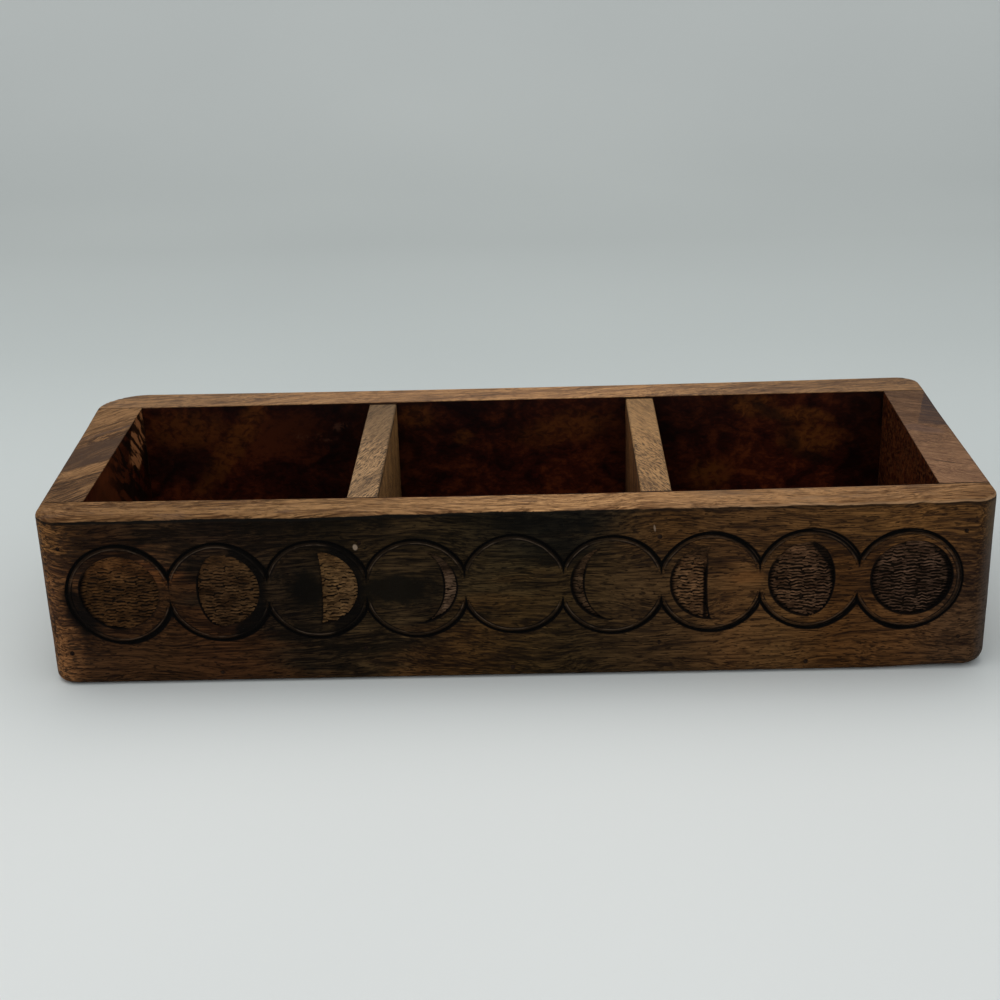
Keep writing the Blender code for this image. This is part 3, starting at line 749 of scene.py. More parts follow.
def bottom_wood():
    """Bottom board: burl figure above, plain stained grain underneath."""
    g = Finish("bottom wood")
    inner, _ = g.burl((7.0, 3.0, 0.0))
    woods = (0.150, 0.080, 0.038), (0.090, 0.047, 0.023), (0.030, 0.017, 0.010)
    under, height = g.wood(g.grain((0, 0, 0), (2.9, 1.8, 0.7)), *woods)
    g.done(g.mix(g.smooth(g.z, 3.0, 5.0), under, g.tinted(inner, (0.75, 0.75, 0.75))), 0.5, height)
    return g.material


def chip_wood():
    """Chip-cut ground: crests lighter from wear and from a painted highlight, golden on the left moons and
    greyer on the right, with painted shade between.
    """
    g = Finish("chip-cut wood")
    tones = [
        (-146, (0.070, 0.031, 0.010)), (-120, (0.082, 0.037, 0.013)), (-98, (0.082, 0.040, 0.016)),
        (-62, (0.165, 0.088, 0.034)), (-50, (0.180, 0.097, 0.040)), (-20, (0.152, 0.091, 0.055)),
        (20, (0.085, 0.050, 0.027)), (60, (0.200, 0.100, 0.044)), (100, (0.135, 0.069, 0.036)),
        (128, (0.112, 0.060, 0.036)), (146, (0.116, 0.064, 0.040)),
    ]
    right, up = g.attribute("chip_right"), g.attribute("chip_up")
    out = g.math("SQRT", g.plus(g.times(right, right), g.times(up, up)))
    high = g.smooth(up, 3.0, 12.0)
    first = g.both(g.smooth(g.x, -118.0, -115.0, 1.0, 0.0), g.smooth(up, 3.0, 9.0))
    fourth = g.both(g.within(g.x, (-30.0, -28.0), (-12.0, -8.0)), g.smooth(up, 5.4, 6.6))
    blot = g.ramp(g.spread((7.0, 4.0, 4.0)), [(0.34, (0.42, 0.38, 0.36)), (0.6, (1.25, 1.25, 1.25))])
    crest_tone = g.tinted(g.along(g.x, tones), blot)
    tints = (g.both(high, 0.5), (0.8, 0.72, 0.6)), (first, (2.0, 1.9, 1.9)), (fourth, (0.38, 0.38, 0.38))
    for share, tint in tints:
        crest_tone = g.mix(share, crest_tone, g.tinted(crest_tone, tint))
    # The crests' lighter tone is partly wear and partly a painted highlight, thinner low on the grounds; the
    # near-black between them is painted shade
    crest = g.plus(g.attribute("crest"), g.times(g.minus(g.rough, 0.5), 0.5))
    crest_light_and_wear = [(-146, 0.32), (-80, 0.32), (-50, 0.22), (-20, 0.15), (20, 0.3), (67, 0.36), (95, 0.48)]
    crest_light_and_wear += [(120, 0.58), (146, 0.62)]
    worn = g.minus(g.along(g.x, crest_light_and_wear), g.times(high, 0.28))
    flecks = g.smooth(g.spread((1.9, 1.0, 0.45), detail=2.0), 0.40, 0.58, 0.45, 1.0)
    lit_and_worn_crest = g.both(g.share(crest, worn, g.plus(worn, 0.2)), flecks)
    colour = g.mix(lit_and_worn_crest, (0.0055, 0.0031, 0.0017), crest_tone)
    colour = g.mix(g.smooth(g.attribute("chip_tone"), 0.0, 1.0, 0.30, 0.0), colour, (0.014, 0.008, 0.004))

    # Painted shade: the grounds darken towards the limb, moons 7 and 8 along their shadow lines, and moon 7
    # at its top
    limb_shade = g.both(g.smooth(out, 11.4, 12.4), g.smooth(right, 3.0, 7.0), g.smooth(g.x, 112.0, 118.0))
    limb_shade = g.both(limb_shade, g.smooth(up, 9.0, 12.0, 0.92, 0.1))
    shadow_line = [(-14, 0.45), (-3, 0.52), (1, 0.48), (4.6, 0.42), (7.5, 0.29), (11.3, 0.09), (14, 0.0)]
    past_line = g.minus(right, g.times(g.along(up, shadow_line), 15.0))
    eighth_moon_shade = g.both(g.smooth(past_line, -0.8, 0.4), g.within(g.x, (86.0, 88.0), (114.0, 118.0)), 0.92)
    seventh = g.within(g.x, (50.0, 52.0), (66.0, 68.0))
    left_shade = g.both(g.smooth(out, 11.8, 13.4), g.smooth(right, -3.0, -8.0))
    left_shade = g.both(left_shade, g.smooth(up, 6.0, 11.0, 0.9, 0.1))
    top_shade = g.both(seventh, g.smooth(up, 6.5, 10.5, 0.0, 0.7))
    line_shade = g.both(seventh, g.smooth(right, -3.0, -2.3), g.smooth(up, 4.0, 9.0, 0.95, 0.3))
    colour = g.mix(g.either(line_shade, limb_shade, eighth_moon_shade, left_shade, top_shade), colour, PAINTED_SHADE_BLACK)
    g.done(colour, 0.66, g.spread(0.8, detail=2.0), 0.05 * MM, shine=0.03)
    return g.material


def plain_finish(name, size, low, high, roughness, shine):
    """A simple cloudy finish between two tones."""
    g = Finish(name)
    cloudy = g.spread(size)
    g.done(g.ramp(cloudy, [(0.35, low), (0.65, high)]), roughness, cloudy, 0.05 * MM, shine)
    return g.material


def steel():
    g = Finish("brad steel")
    drawn = g.spread((1.1, 8.0, 1.1), detail=4.0)
    colour = g.ramp(drawn, [(0.3, (0.36, 0.35, 0.34)), (0.7, (0.52, 0.51, 0.49))])
    shader = g.done(colour, g.smooth(drawn, 0.3, 0.7, 0.28, 0.45), drawn, 0.01 * MM, 0.5)
    shader.inputs["Metallic"].default_value = 1.0
    return g.material


# Shapes of the boards


def smoothstep(value, low, high):
    t = np.clip((value - low) / (high - low), 0.0, 1.0)
    return t * t * (3 - 2 * t)


def cloud(points, size, seed):
    """Smooth value noise from -1 to 1 with features of the given size, which may differ by axis."""
    scaled = points / np.asarray(size) + seed * 17.31
    cell = np.floor(scaled).astype(np.int64)
    t = scaled - cell
    t = t * t * (3 - 2 * t)
    total = np.zeros(len(points))
    for corner in np.ndindex(2, 2, 2):
        c = cell + corner
        h = (c[:, 0] * 73856093) ^ (c[:, 1] * 19349663) ^ (c[:, 2] * 83492791)
        h = (h ^ (h >> 13)) * 1274126177 % 2147483647
        weight = np.prod(np.where(corner, t, 1 - t), axis=1)
        total += weight * (h / 2147483647 * 2 - 1)
    return total


def rounded_max(a, b, radius):
    """Both distances hold, and the edge between them is rounded."""
    u, v = a + radius, b + radius
    return np.hypot(np.maximum(u, 0), np.maximum(v, 0)) + np.minimum(np.maximum(u, v), 0) - radius


def outline_distance(points):
    """Distance outside the sanded outline, seen from above. The ends run straight from corner to corner."""
    half = (CAD_HIGH - CAD_LOW) / 2
    x, y = points[:, 0], points[:, 1]
    back, right = (y > 0).astype(int), (x > 0).astype(int)
    corners = np.array([[FRONT_LEFT_CORNER, FRONT_RIGHT_CORNER], [BACK_LEFT_CORNER, BACK_RIGHT_CORNER]])
    radii = corners[back, right, :2]
    front_depth, back_depth = corners[0, right, 1], corners[1, right, 1]
    front_taper, back_taper = corners[0, right, 2], corners[1, right, 2]
    share = np.clip((y + half.y - front_depth) / (2 * half.y - front_depth - back_depth), 0, 1)
    end = half.x - front_taper - (back_taper - front_taper) * share
    over = np.stack([np.abs(x) - end, np.abs(y) - half.y], axis=1) + radii
    beyond = np.maximum(over, 0) / radii
    reach = np.maximum(np.hypot(beyond[:, 0], beyond[:, 1]), 1e-9)
    slope = np.hypot(beyond[:, 0] / radii[:, 0], beyond[:, 1] / radii[:, 1]) / reach
    corner = (reach - 1) / np.maximum(slope, 1e-9)
    side = np.max(over - radii, axis=1)
    return np.where((over > 0).all(axis=1), corner, side)


def block_distance(points):
    """Distance outside the whole box's sanded outside, top and bottom edges rounded."""
    z, height = points[:, 2], CAD_HIGH.z
    top_edge = TOP_EDGE + (BACK_TOP_EDGE - TOP_EDGE) * smoothstep(points[:, 1], *TOP_CHANGE)
    bottom_edge = BOTTOM_EDGE + (BOTTOM_RIGHT_EDGE - BOTTOM_EDGE) * smoothstep(points[:, 0], *BOTTOM_CHANGE)
    edge = np.where(z > height / 2, top_edge, bottom_edge)
    return rounded_max(outline_distance(points), np.abs(z - height / 2) - height / 2, edge)


def board_distance(points, low, high, ease, ease_top):
    """Distance outside a board: its own box with eased edges, trimmed by the sanded outside."""
    points = unsagged(points)
    low = np.where(np.abs(low - np.array(CAD_LOW)) < SAME_PLANE, low - TRIM_ALLOWANCE, low)
    high = np.where(np.abs(high - np.array(CAD_HIGH)) < SAME_PLANE, high + TRIM_ALLOWANCE, high)
    sides = np.maximum(low - points, points - high)
    level = rounded_max(sides[:, 0], sides[:, 1], ease)
    level = rounded_max(level, sides[:, 2], ease_top)
    return rounded_max(level, block_distance(points), ease)


def rim_sag(points):
    """How far the rim is worn down over each point, most in the middle of the box."""
    along = np.clip(1 - (points[:, 0] / CAD_HIGH.x) ** 2, 0, 1)
    full = FRONT_SAG + (BACK_INNER_SAG - FRONT_SAG) * smoothstep(points[:, 1], *INWARD_CHANGE)
    full += (BACK_SAG - BACK_INNER_SAG) * smoothstep(points[:, 1], *BACK_CHANGE)
    return full * along * smoothstep(points[:, 2], SAG_FROM, SAG_FULL)


def unsagged(points):
    """The places that points of the worn box had before the rim wore down."""
    lifted = points.copy()
    lifted[:, 2] += rim_sag(points)
    return lifted


def slope_of(distance, points):
    step = 0.02 * MM
    slope = np.empty_like(points)
    for k in range(3):
        shift = np.zeros(3)
        shift[k] = step
        slope[:, k] = (distance(points + shift) - distance(points - shift)) / (2 * step)
    return slope


def settle(points, distance):
    """Moves points on to the surface where the distance is nothing, and gives the outward directions."""
    for _ in range(6):
        slope = slope_of(distance, points)
        length = np.maximum((slope**2).sum(axis=1), 0.05)
        points = points - slope * (distance(points) / length)[:, None]
    slope = slope_of(distance, points)
    return points, slope / np.maximum(np.linalg.norm(slope, axis=1), 1e-9)[:, None]


def graded(low, high, step, edge=(0.35 * MM, 0.75 * MM, 1.25 * MM, 2.0 * MM, 3.2 * MM)):
    """Positions from low to high, close together near both ends."""
    edge = [e for e in edge if e < (high - low) / 3]
    if not edge:
        return np.array([low, high])
    first, last = low + edge[-1], high - edge[-1]
    middle = np.linspace(first, last, max(2, round((last - first) / step) + 1))
    start = [low, *(low + e for e in edge[:-1])]
    return np.concatenate([start, middle, [low + high - s for s in reversed(start)]])


def triangulate(u_edge, v_edge, inner):
    """Triangles of a rectangle whose border has the given positions and that holds the inner points."""
    border = [(u, v_edge[0]) for u in u_edge[:-1]] + [(u_edge[-1], v) for v in v_edge[:-1]]
    border += [(u, v_edge[-1]) for u in u_edge[:0:-1]] + [(u_edge[0], v) for v in v_edge[:0:-1]]
    count = len(border)
    edges = [(i, (i + 1) % count) for i in range(count)]
    points = [(u / MM, v / MM) for u, v in [*border, *inner]]
    placed, _, faces, *_ = delaunay_2d_cdt(points, edges, [], 1, 1e-5)
    return np.array([(p[0] * MM, p[1] * MM) for p in placed]), faces


def grid_points(u, v):
    return np.stack(np.meshgrid(u, v, indexing="ij"), axis=-1).reshape(-1, 2)


def box_surface(low, high, steps, front_points=None):
    """Points and triangles of a box's six sides. The front side may have points of its own."""
    lines = [graded(low[k], high[k], steps[k]) for k in range(3)]
    vertices, faces, start = [], [], 0
    for k in range(3):
        a, b = [i for i in range(3) if i != k]
        for level, outward in ((low[k], -1), (high[k], 1)):
            inner = grid_points(lines[a][1:-1], lines[b][1:-1])
            if k == 1 and outward < 0 and front_points is not None:
                inner = front_points
            flat, triangles = triangulate(lines[a], lines[b], inner)
            solid = np.empty((len(flat), 3))
            solid[:, a], solid[:, b], solid[:, k] = flat[:, 0], flat[:, 1], level
            flip = (outward > 0) == (k == 1)
            for triangle in triangles:
                ordered = reversed(triangle) if flip else triangle
                faces.append([start + i for i in ordered])
            vertices.append(solid)
            start += len(flat)
    vertices = np.concatenate(vertices)
    keys = np.round(vertices / (0.001 * MM)).astype(np.int64)
    _, first, same = np.unique(keys, axis=0, return_index=True, return_inverse=True)
    same = same.ravel()
    return vertices[first], [[int(same[i]) for i in face] for face in faces]


def make_piece(name, vertices, faces, material, attributes=None):
    mesh = bpy.data.meshes.new(name)
    mesh.from_pydata([tuple(v) for v in vertices], [], faces)
    for label, values in (attributes or {}).items():
        attribute = mesh.attributes.new(label, "FLOAT", "POINT")
        attribute.data.foreach_set("value", np.asarray(values, dtype=np.float32))
    mesh.shade_smooth()
    mesh.materials.append(material)
    piece = bpy.data.objects.new(name, mesh)
    bpy.context.scene.collection.objects.link(piece)
    return piece


# The carving on the front board


def ring_distances(x, z):
    """Distance of points from each ring's centre, one row for each ring."""
    return np.array([np.hypot(x - centre[0], z - centre[1]) for centre in RING_CENTRES])


def ring_fade(radii, index):
    """1 where a ring is cut, falling to 0 a short tail past its crossing with a neighbour."""
    fade = np.ones(radii.shape[1])
    for neighbour in (index - 1, index + 1):
        if 0 <= neighbour < MOON_COUNT:
            fade *= 1 - smoothstep(RING_RADIUS - radii[neighbour], 0.4 * MM, RING_TAIL)
    return fade


def groove_line(off):
    """Depth of a groove, from the distance to its line."""
    return GROOVE_DEPTH * np.clip(1 - np.abs(off) / GROOVE_HALF_WIDTH, 0, 1)


def channel_depth(off):
    """Depth inside a ring's line: a shallow channel, a worn crest and a second thin line."""
    channel = smoothstep(off, -CREST_INSET - 0.2 * MM, -CREST_INSET + 0.3 * MM) * (off < 0)
    second = SECOND_LINE_DEPTH * np.clip(1 - np.abs(off + SECOND_LINE_INSET) / SECOND_LINE_HALF_WIDTH, 0, 1)
    return np.maximum(CHANNEL_DEPTH * channel, second)


def ring_cut(x, z):
    """Depth of the ring grooves, and the distances past the nearest ring's line and past the next ring's."""
    flat = np.stack([x, z, np.zeros_like(x)], axis=1)
    hand = RING_WANDER * cloud(flat, 11 * MM, 3)
    near, crossing = np.sort(ring_distances(x, z), axis=0)[:2] - RING_RADIUS - hand
    tail = smoothstep(near, -RING_TAIL, -0.4 * RING_TAIL)
    alone = smoothstep(crossing, 0.0, 1.2 * MM)
    line = np.maximum(groove_line(near), tail * groove_line(crossing))
    stem = smoothstep(near, -1.15 * MM, -0.65 * MM) * groove_line(crossing - near) * (near < 0.3 * MM)
    strength = 0.85 + 0.15 * cloud(flat, 14 * MM, 5)
    depth = strength * np.maximum(np.maximum(line, stem), alone * channel_depth(near))
    return depth, near, crossing


def shadow_line(index, rise):
    """How far right of a moon's centre its shadow starts, at a height above the centre."""
    height = np.clip(rise / MOON_RADIUS, -1, 1)
    return MOON_SHADOWS[index][0] * np.sqrt(1 - height**2)


def shadow_distance(index, x, z):
    """Distance outside a moon's sunk ground, or a large one where it has none."""
    side = MOON_SHADOWS[index][1]
    if side is None:
        return np.full_like(x, 1.0)
    away, rise = x - GROUND_CENTRES[index][0], z - GROUND_CENTRES[index][1]
    disc = np.hypot(away, rise) - MOON_RADIUS
    if side == 0:
        return disc
    return np.maximum(disc, side * (shadow_line(index, rise) - away))


def sunk_cut(x, z):
    """Depth of the moons' sunk grounds, and the distance outside the nearest one's outline."""
    nearest = np.min([shadow_distance(i, x, z) for i in range(MOON_COUNT)], axis=0)
    share = np.clip((BAND_HEIGHT + MOON_RADIUS - z) / SINK_SLOPE, 0, 1)
    sink = SINK_TOP + (SINK - SINK_TOP) * share
    return sink * smoothstep(-nearest, 0.0, SINK_WALL), nearest


def along_arc(centre, radius, spacing):
    count = max(12, round(2 * math.pi * radius / spacing))
    angle = np.arange(count) * 2 * math.pi / count
    return np.stack([centre[0] + radius * np.cos(angle), centre[1] + radius * np.sin(angle)], axis=1)


def ground_points(index):
    """Points along a sunk ground's outline, one set for each inset, and over its floor."""
    centre_x, centre_z = GROUND_CENTRES[index]
    side = MOON_SHADOWS[index][1]
    sets = []
    for inset in OUTLINE_INSETS:
        limb = along_arc((centre_x, centre_z), MOON_RADIUS - inset * MM, 0.55 * MM)
        level = shadow_distance(index, limb[:, 0], limb[:, 1])
        sets.append(limb[np.abs(level + inset * MM) < 0.05 * MM])
        if side:
            rise = np.arange(-MOON_RADIUS, MOON_RADIUS, 0.5 * MM)
            line_x = centre_x + shadow_line(index, rise) + side * inset * MM
            line = np.stack([line_x, centre_z + rise], axis=1)
            disc = np.hypot(line_x - centre_x, rise) - MOON_RADIUS
            sets.append(line[disc < -inset * MM])
    reach = np.arange(-MOON_RADIUS, MOON_RADIUS, 0.8 * MM)
    floor = grid_points(centre_x + reach, centre_z + reach)
    level = shadow_distance(index, floor[:, 0], floor[:, 1])
    return [*sets, floor[level < -1.0 * MM]]


def carving_points():
    """Points of the front face: close together along every cut, wide along the grain elsewhere."""
    sets = []
    for index, (_, side) in enumerate(MOON_SHADOWS):
        for offset in RING_OFFSETS:
            ring = along_arc(RING_CENTRES[index], RING_RADIUS + offset * MM, 0.62 * MM)
            keep = ring_fade(ring_distances(ring[:, 0], ring[:, 1]), index) > 0.02
            sets.append(ring[keep])
        if side is not None:
            sets += ground_points(index)
    for head, way in brad_places():
        if way[1] < 0:
            centre = (head[0], head[2])
            sets += [along_arc(centre, DIMPLE_RADIUS * share, 0.6 * MM) for share in DIMPLE_SHARES]
            sets.append(np.array([centre]))

    low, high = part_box("front_board")
    rows = graded(low.z, high.z, 0.62 * MM)[1:-1]
    columns = graded(low.x, high.x, 2.4 * MM)[1:-1]
    plain = grid_points(columns, rows)
    plain[:, 0] += np.where(np.arange(len(plain)) % 2, 0.6 * MM, -0.6 * MM)
    radii = ring_distances(plain[:, 0], plain[:, 1])
    near_ring = (np.abs(radii - RING_RADIUS + 0.55 * MM) < 2.0 * MM).any(axis=0)
    nearest = sunk_cut(plain[:, 0], plain[:, 1])[1]
    return np.concatenate([*sets, plain[~near_ring & (nearest > 0.8 * MM)]])


# Brads


def brad_places():
    """Place on the face and outward direction of every brad, from the solids."""
    ways = {"front": (0, -1, 0), "back": (0, 1, 0), "left": (-1, 0, 0), "right": (1, 0, 0)}
    places = []
    for name in sorted(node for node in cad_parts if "brad" in node):
        low, high = (np.array(corner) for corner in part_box(name))
        way = np.array(ways[name.split("_")[0]], dtype=float)
        head = (low + high) / 2 + way * (np.abs(way) @ (high - low) / 2 + BRAD_SET)
        places.append((head, way))
    return places


# Boards


def hollow(away, deep, inner, outer):
    """Depth of a soft dent: the full depth within the inner distance, running out at the outer one."""
    return deep * (1 - smoothstep(away, inner, outer))


def dents(points):
    """Depth of the dimples over the brads and of the nicks in the edges."""
    dimples, nicks = np.zeros(len(points)), np.zeros(len(points))
    for head, _ in brad_places():
        away = np.linalg.norm(points - head, axis=1)
        dimples = np.maximum(dimples, hollow(away, DIMPLE_DEPTH, 0.5 * DIMPLE_RADIUS, DIMPLE_RADIUS))
    for place, size, deep in NICKS:
        away = np.linalg.norm((points - place) / size, axis=1)
        nicks = np.maximum(nicks, hollow(away, deep, 0.3, 1.0))
    return dimples, nicks


def hand_work(points, outward, grain, seed):
    """How far the tools have taken a surface down: slow waves and raised fibres, less on the flat rim."""
    size = np.full(3, 1.0)
    size[grain] = 9.0
    waves = 0.08 * MM * (1 + cloud(points, size * 9 * MM, seed))
    fibres = 0.025 * MM * (1 + cloud(points, size * 0.9 * MM, seed + 1))
    return (waves + fibres) * (1 - 0.6 * smoothstep(outward[:, 2], 0.4, 0.9))


def worked_board(name, node, material, steps, grain, seed, ease_top=JOINT_EASE, carved=False):
    """One board in place of its solid: eased, sanded with the others, worn, and on the front one carved."""
    low, high = (np.array(corner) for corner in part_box(node))
    start, faces = box_surface(low, high, steps, carving_points() if carved else None)
    points, outward = settle(start, lambda p: board_distance(p, low, high, JOINT_EASE, ease_top))
    attributes = {"sag": rim_sag(points) / MM}
    dimples, nicks = dents(points)
    depth = hand_work(points, outward, grain, seed) + dimples + nicks
    if carved:
        face = (outward[:, 1] < -0.9) & (start[:, 1] < low[1] + 0.5 * MM)
        x, z = points[:, 0], points[:, 2]
        ring_depth, near, crossing = ring_cut(x, z)
        sunk_depth, limb = sunk_cut(x, z)
        depth += face * np.maximum(ring_depth, sunk_depth)
        away = np.where(face, 0.0, 9.0)
        attributes.update(ring=near / MM + away, crossing=crossing / MM + away, limb=limb / MM + away)
    piece = make_piece(name, points - outward * depth[:, None], faces, material, attributes)
    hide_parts(node)
    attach(piece, "root")


# Chip cuts, fillers and glue


class Maker(Graph):
    """A geometry tree with named inputs, for small shapes that are made in numbers."""

    def __init__(self, name, inputs):
        super().__init__(bpy.data.node_groups.new(name, "GeometryNodeTree"))
        sockets = self.tree.interface
        sockets.new_socket("Geometry", in_out="OUTPUT", socket_type="NodeSocketGeometry")
        for label, kind, value in inputs:
            socket = sockets.new_socket(label, in_out="INPUT", socket_type=f"NodeSocket{kind}")
            if value is not None:
                socket.default_value = value
        self.given = self.node("NodeGroupInput").outputs

    def random_vector(self, low, high, shift=0.0):
        """A direction or size of its own for each point. The shift keeps one draw apart from another."""
        draw = {"Seed": self.plus(self.given["Seed"], shift), 0: low, 1: high}
        return self.node("FunctionNodeRandomValue", draw, data_type="FLOAT_VECTOR").outputs[0]

    def moved(self, geometry, place):
        return self.node("GeometryNodeSetPosition", {"Geometry": geometry, "Position": place}).outputs[0]

    def stored(self, geometry, name, value, domain="POINT"):
        kept = {"Geometry": geometry, "Name": name, "Value": value}
        return self.node("GeometryNodeStoreNamedAttribute", kept, data_type="FLOAT", domain=domain).outputs[0]

    def copies(self, points, shape, rotation, scale):
        spread = {"Points": points, "Instance": shape, "Rotation": rotation, "Scale": scale}
        return self.node("GeometryNodeInstanceOnPoints", spread).outputs[0]

    def realized(self, copies):
        return self.node("GeometryNodeRealizeInstances", {0: copies}).outputs[0]

    def finished(self, geometry, material):
        last = self.node("GeometryNodeSetMaterial", {"Geometry": geometry, "Material": material}).outputs[0]
        self.tree.links.new(last, self.node("NodeGroupOutput").inputs[0])
        return self.tree


def chip_tree(material):
    """Columns of short gouge cuts with a ridge between each two, made lying down and stood up at the end."""
    g = Maker("gouge cuts", (
        ("Centre", "Vector", (0, 0, 0)),
        ("Radius", "Float", MOON_RADIUS),
        ("Shadow Start", "Float", 0.0),
        ("Shadow Side", "Float", 1.0),
        ("Row Pitch", "Float", CUT_PITCH),
        ("Cut Spacing", "Float", CUT_SPACING),
        ("Cut Length", "Float", CUT_LENGTH),
        ("Cut Height", "Float", CUT_HEIGHT),
        ("Wave", "Float", CUT_WAVE),
        ("Slope", "Float", SINK_SLOPE),
        ("Rise", "Float", SINK - SINK_TOP),
        ("Seed", "Int", 0),
    ))
    given, radius, cut_length = g.given, g.given["Radius"], g.given["Cut Length"]
    x, y, z = g.separate(g.node("GeometryNodeInputPosition").outputs[0])
    share = g.over(y, radius)
    chord = g.math("SQRT", g.either(g.minus(1.0, g.times(share, share)), 0.0))

    # Points in columns over the disc, every other column half a row up
    reach = g.times(radius, 2.0)
    across = g.math("FLOOR", g.plus(g.over(reach, given["Cut Spacing"]), 3.0))
    tall = g.math("FLOOR", g.plus(g.over(reach, given["Row Pitch"]), 2.0))
    sizes = {"Size X": 1.0, "Size Y": 1.0, "Vertices X": across, "Vertices Y": tall}
    grid = g.node("GeometryNodeMeshGrid", sizes).outputs["Mesh"]
    column = g.times(x, g.minus(across, 1.0))
    row = g.times(y, g.minus(tall, 1.0))
    odd = g.math("FLOORED_MODULO", g.math("ROUND", g.plus(column, 0.5)), 2.0)
    shake = g.separate(g.random_vector((-0.24, -0.14, 0.0), (0.24, 0.14, 0.0)))
    cut_x = g.times(g.plus(column, shake[0]), given["Cut Spacing"])
    cut_y = g.times(g.plus(row, g.times(odd, 0.5), shake[1]), given["Row Pitch"])
    placed = g.moved(grid, g.combine(cut_x, cut_y))

    # Only those on the shadow stay
    past_edge = g.times(given["Shadow Side"], g.minus(g.times(given["Shadow Start"], chord), x))
    whole = g.math("LESS_THAN", g.absolute(given["Shadow Side"]), 0.5)
    past_edge = g.minus(g.minus(past_edge, whole), g.times(cut_length, 0.45))
    drawn_in = g.minus(1.0, g.over(g.times(cut_length, 0.3), radius))
    past_limb = g.minus(g.length(g.combine(g.times(x, drawn_in), y)), radius)
    outside = g.math("GREATER_THAN", g.either(past_edge, past_limb), 0.0)
    cut_off = {"Geometry": placed, "Selection": outside}
    kept = g.node("GeometryNodeDeleteGeometry", cut_off, domain="POINT").outputs[0]

    # One ridge: a closed sliver with its crest near the lower edge, running out at both ends
    sizes = {"Size": (1.0, 1.0, 1.0), "Vertices X": 8, "Vertices Y": 4, "Vertices Z": 2}
    block = g.node("GeometryNodeMeshCube", sizes).outputs["Mesh"]
    lower = g.minus(y, g.times(g.math("COSINE", g.times(y, math.pi)), 0.12))
    rise = g.math("MINIMUM", g.over(g.plus(lower, 0.5), 0.23), 1.0)
    fall = g.over(g.minus(0.55, lower), 0.82)
    taper = g.minus(1.0, g.math("POWER", g.absolute(g.times(x, 2.0)), 7.0))
    crown = g.times(rise, fall, taper)
    is_top = g.math("GREATER_THAN", z, 0.0)
    level = g.minus(g.times(is_top, g.plus(g.times(crown, given["Cut Height"]), CUT_ROOT)), CUT_ROOT)
    sliver = g.combine(g.times(x, cut_length), g.times(lower, given["Row Pitch"]), level)
    ridge = g.moved(g.stored(block, "crest", g.times(crown, is_top)), sliver)
    turns = g.random_vector((-0.10, -0.03, -0.07), (0.10, 0.03, 0.07), 1.0)
    scales = g.random_vector((0.85, 0.88, 0.60), (1.20, 1.12, 1.05), 2.0)
    draw = {"Seed": g.plus(given["Seed"], 3.0)}
    tone = g.node("FunctionNodeRandomValue", draw, data_type="FLOAT").outputs[1]
    real = g.realized(g.stored(g.copies(kept, ridge, turns, scales), "chip_tone", tone, "INSTANCE"))

    # The rows wander, follow the ground up as it runs out at the top of the moon, and stay within its limb
    drift = g.combine(g.times(x, 430.0), g.times(y, 170.0), given["Seed"])
    wave = g.times(g.minus(g.noise(drift, 1.0, detail=2.0), 0.5), given["Wave"])
    high = g.share(y, g.minus(radius, given["Slope"]), radius)
    lift = g.plus(g.times(z, g.minus(1.0, g.times(high, 0.6))), g.times(high, given["Rise"]))
    limit = g.plus(g.times(chord, radius), CUT_OVERHANG)
    past = g.either(g.minus(g.absolute(x), limit), 0.0)
    held = g.times(g.math("SIGN", x), g.minus(g.absolute(x), g.times(past, 0.85)))
    waved = g.moved(real, g.combine(held, g.plus(y, wave), lift))
    for name, value in (("chip_right", x), ("chip_up", y)):
        waved = g.stored(waved, name, g.times(value, 1.0 / MM))
    upright = {"Geometry": waved, "Translation": given["Centre"], "Rotation": (math.radians(90), 0.0, 0.0)}
    return g.finished(g.node("GeometryNodeTransform", upright).outputs[0], material)


def grown(name, tree, values, base=None):
    """A plain mesh object of what a geometry tree makes with the given inputs."""
    maker = bpy.data.objects.new(name, base or bpy.data.meshes.new(name))
    bpy.context.scene.collection.objects.link(maker)
    modifier = maker.modifiers.new(name, "NODES")
    modifier.node_group = tree
    for item in tree.interface.items_tree:
        if item.in_out == "INPUT" and item.name in values:
            modifier[item.identifier] = values[item.name]
    bpy.context.view_layer.update()
    evaluated = maker.evaluated_get(bpy.context.evaluated_depsgraph_get())
    mesh = bpy.data.meshes.new_from_object(evaluated)
    maker.modifiers.remove(modifier)
    maker.data = mesh
    return maker


def chip_cuts():
    """The cuts of every sunk ground. The crescents' are finer than the others'."""
    tree = chip_tree(chip_wood())
    for index, (start, side) in enumerate(MOON_SHADOWS):
        if side is None:
            continue
        values = {
            "Centre": (GROUND_CENTRES[index][0], FRONT_FACE + SINK + GROUND_DROP, GROUND_CENTRES[index][1]),
            "Shadow Start": start,
            "Shadow Side": float(side),
            "Seed": 11 * index,
        }
        if index in CRESCENT_MOONS:
            values.update(CRESCENT_CUTS)
        chips = grown(f"moon_{index + 1}_chips", tree, values)
        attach(chips, "root")


def filler_tree(material):
    """A low, slightly domed plug on every brad hole, turned to face outwards."""
    inputs = ("Geometry", "Geometry", None), ("Radius", "Float", FILLER_RADIUS), ("Seed", "Int", 4)
    g = Maker("brad fillers", inputs)
    size = {"Segments": 12, "Rings": 7, "Radius": g.given["Radius"]}
    ball = g.node("GeometryNodeMeshUVSphere", size).outputs["Mesh"]
    plug = g.node("GeometryNodeTransform", {"Geometry": ball, "Scale": (1.0, 1.0, 0.28)}).outputs[0]
    facing = g.node("GeometryNodeInputNamedAttribute", {"Name": "facing"}, data_type="FLOAT_VECTOR")
    turn = g.node("FunctionNodeAlignRotationToVector", {"Vector": facing.outputs[0]}, axis="Z").outputs[0]
    scale = g.random_vector((0.75, 0.75, 0.8), (1.2, 1.2, 1.1))
    return g.finished(g.realized(g.copies(g.given["Geometry"], plug, turn, scale)), material)


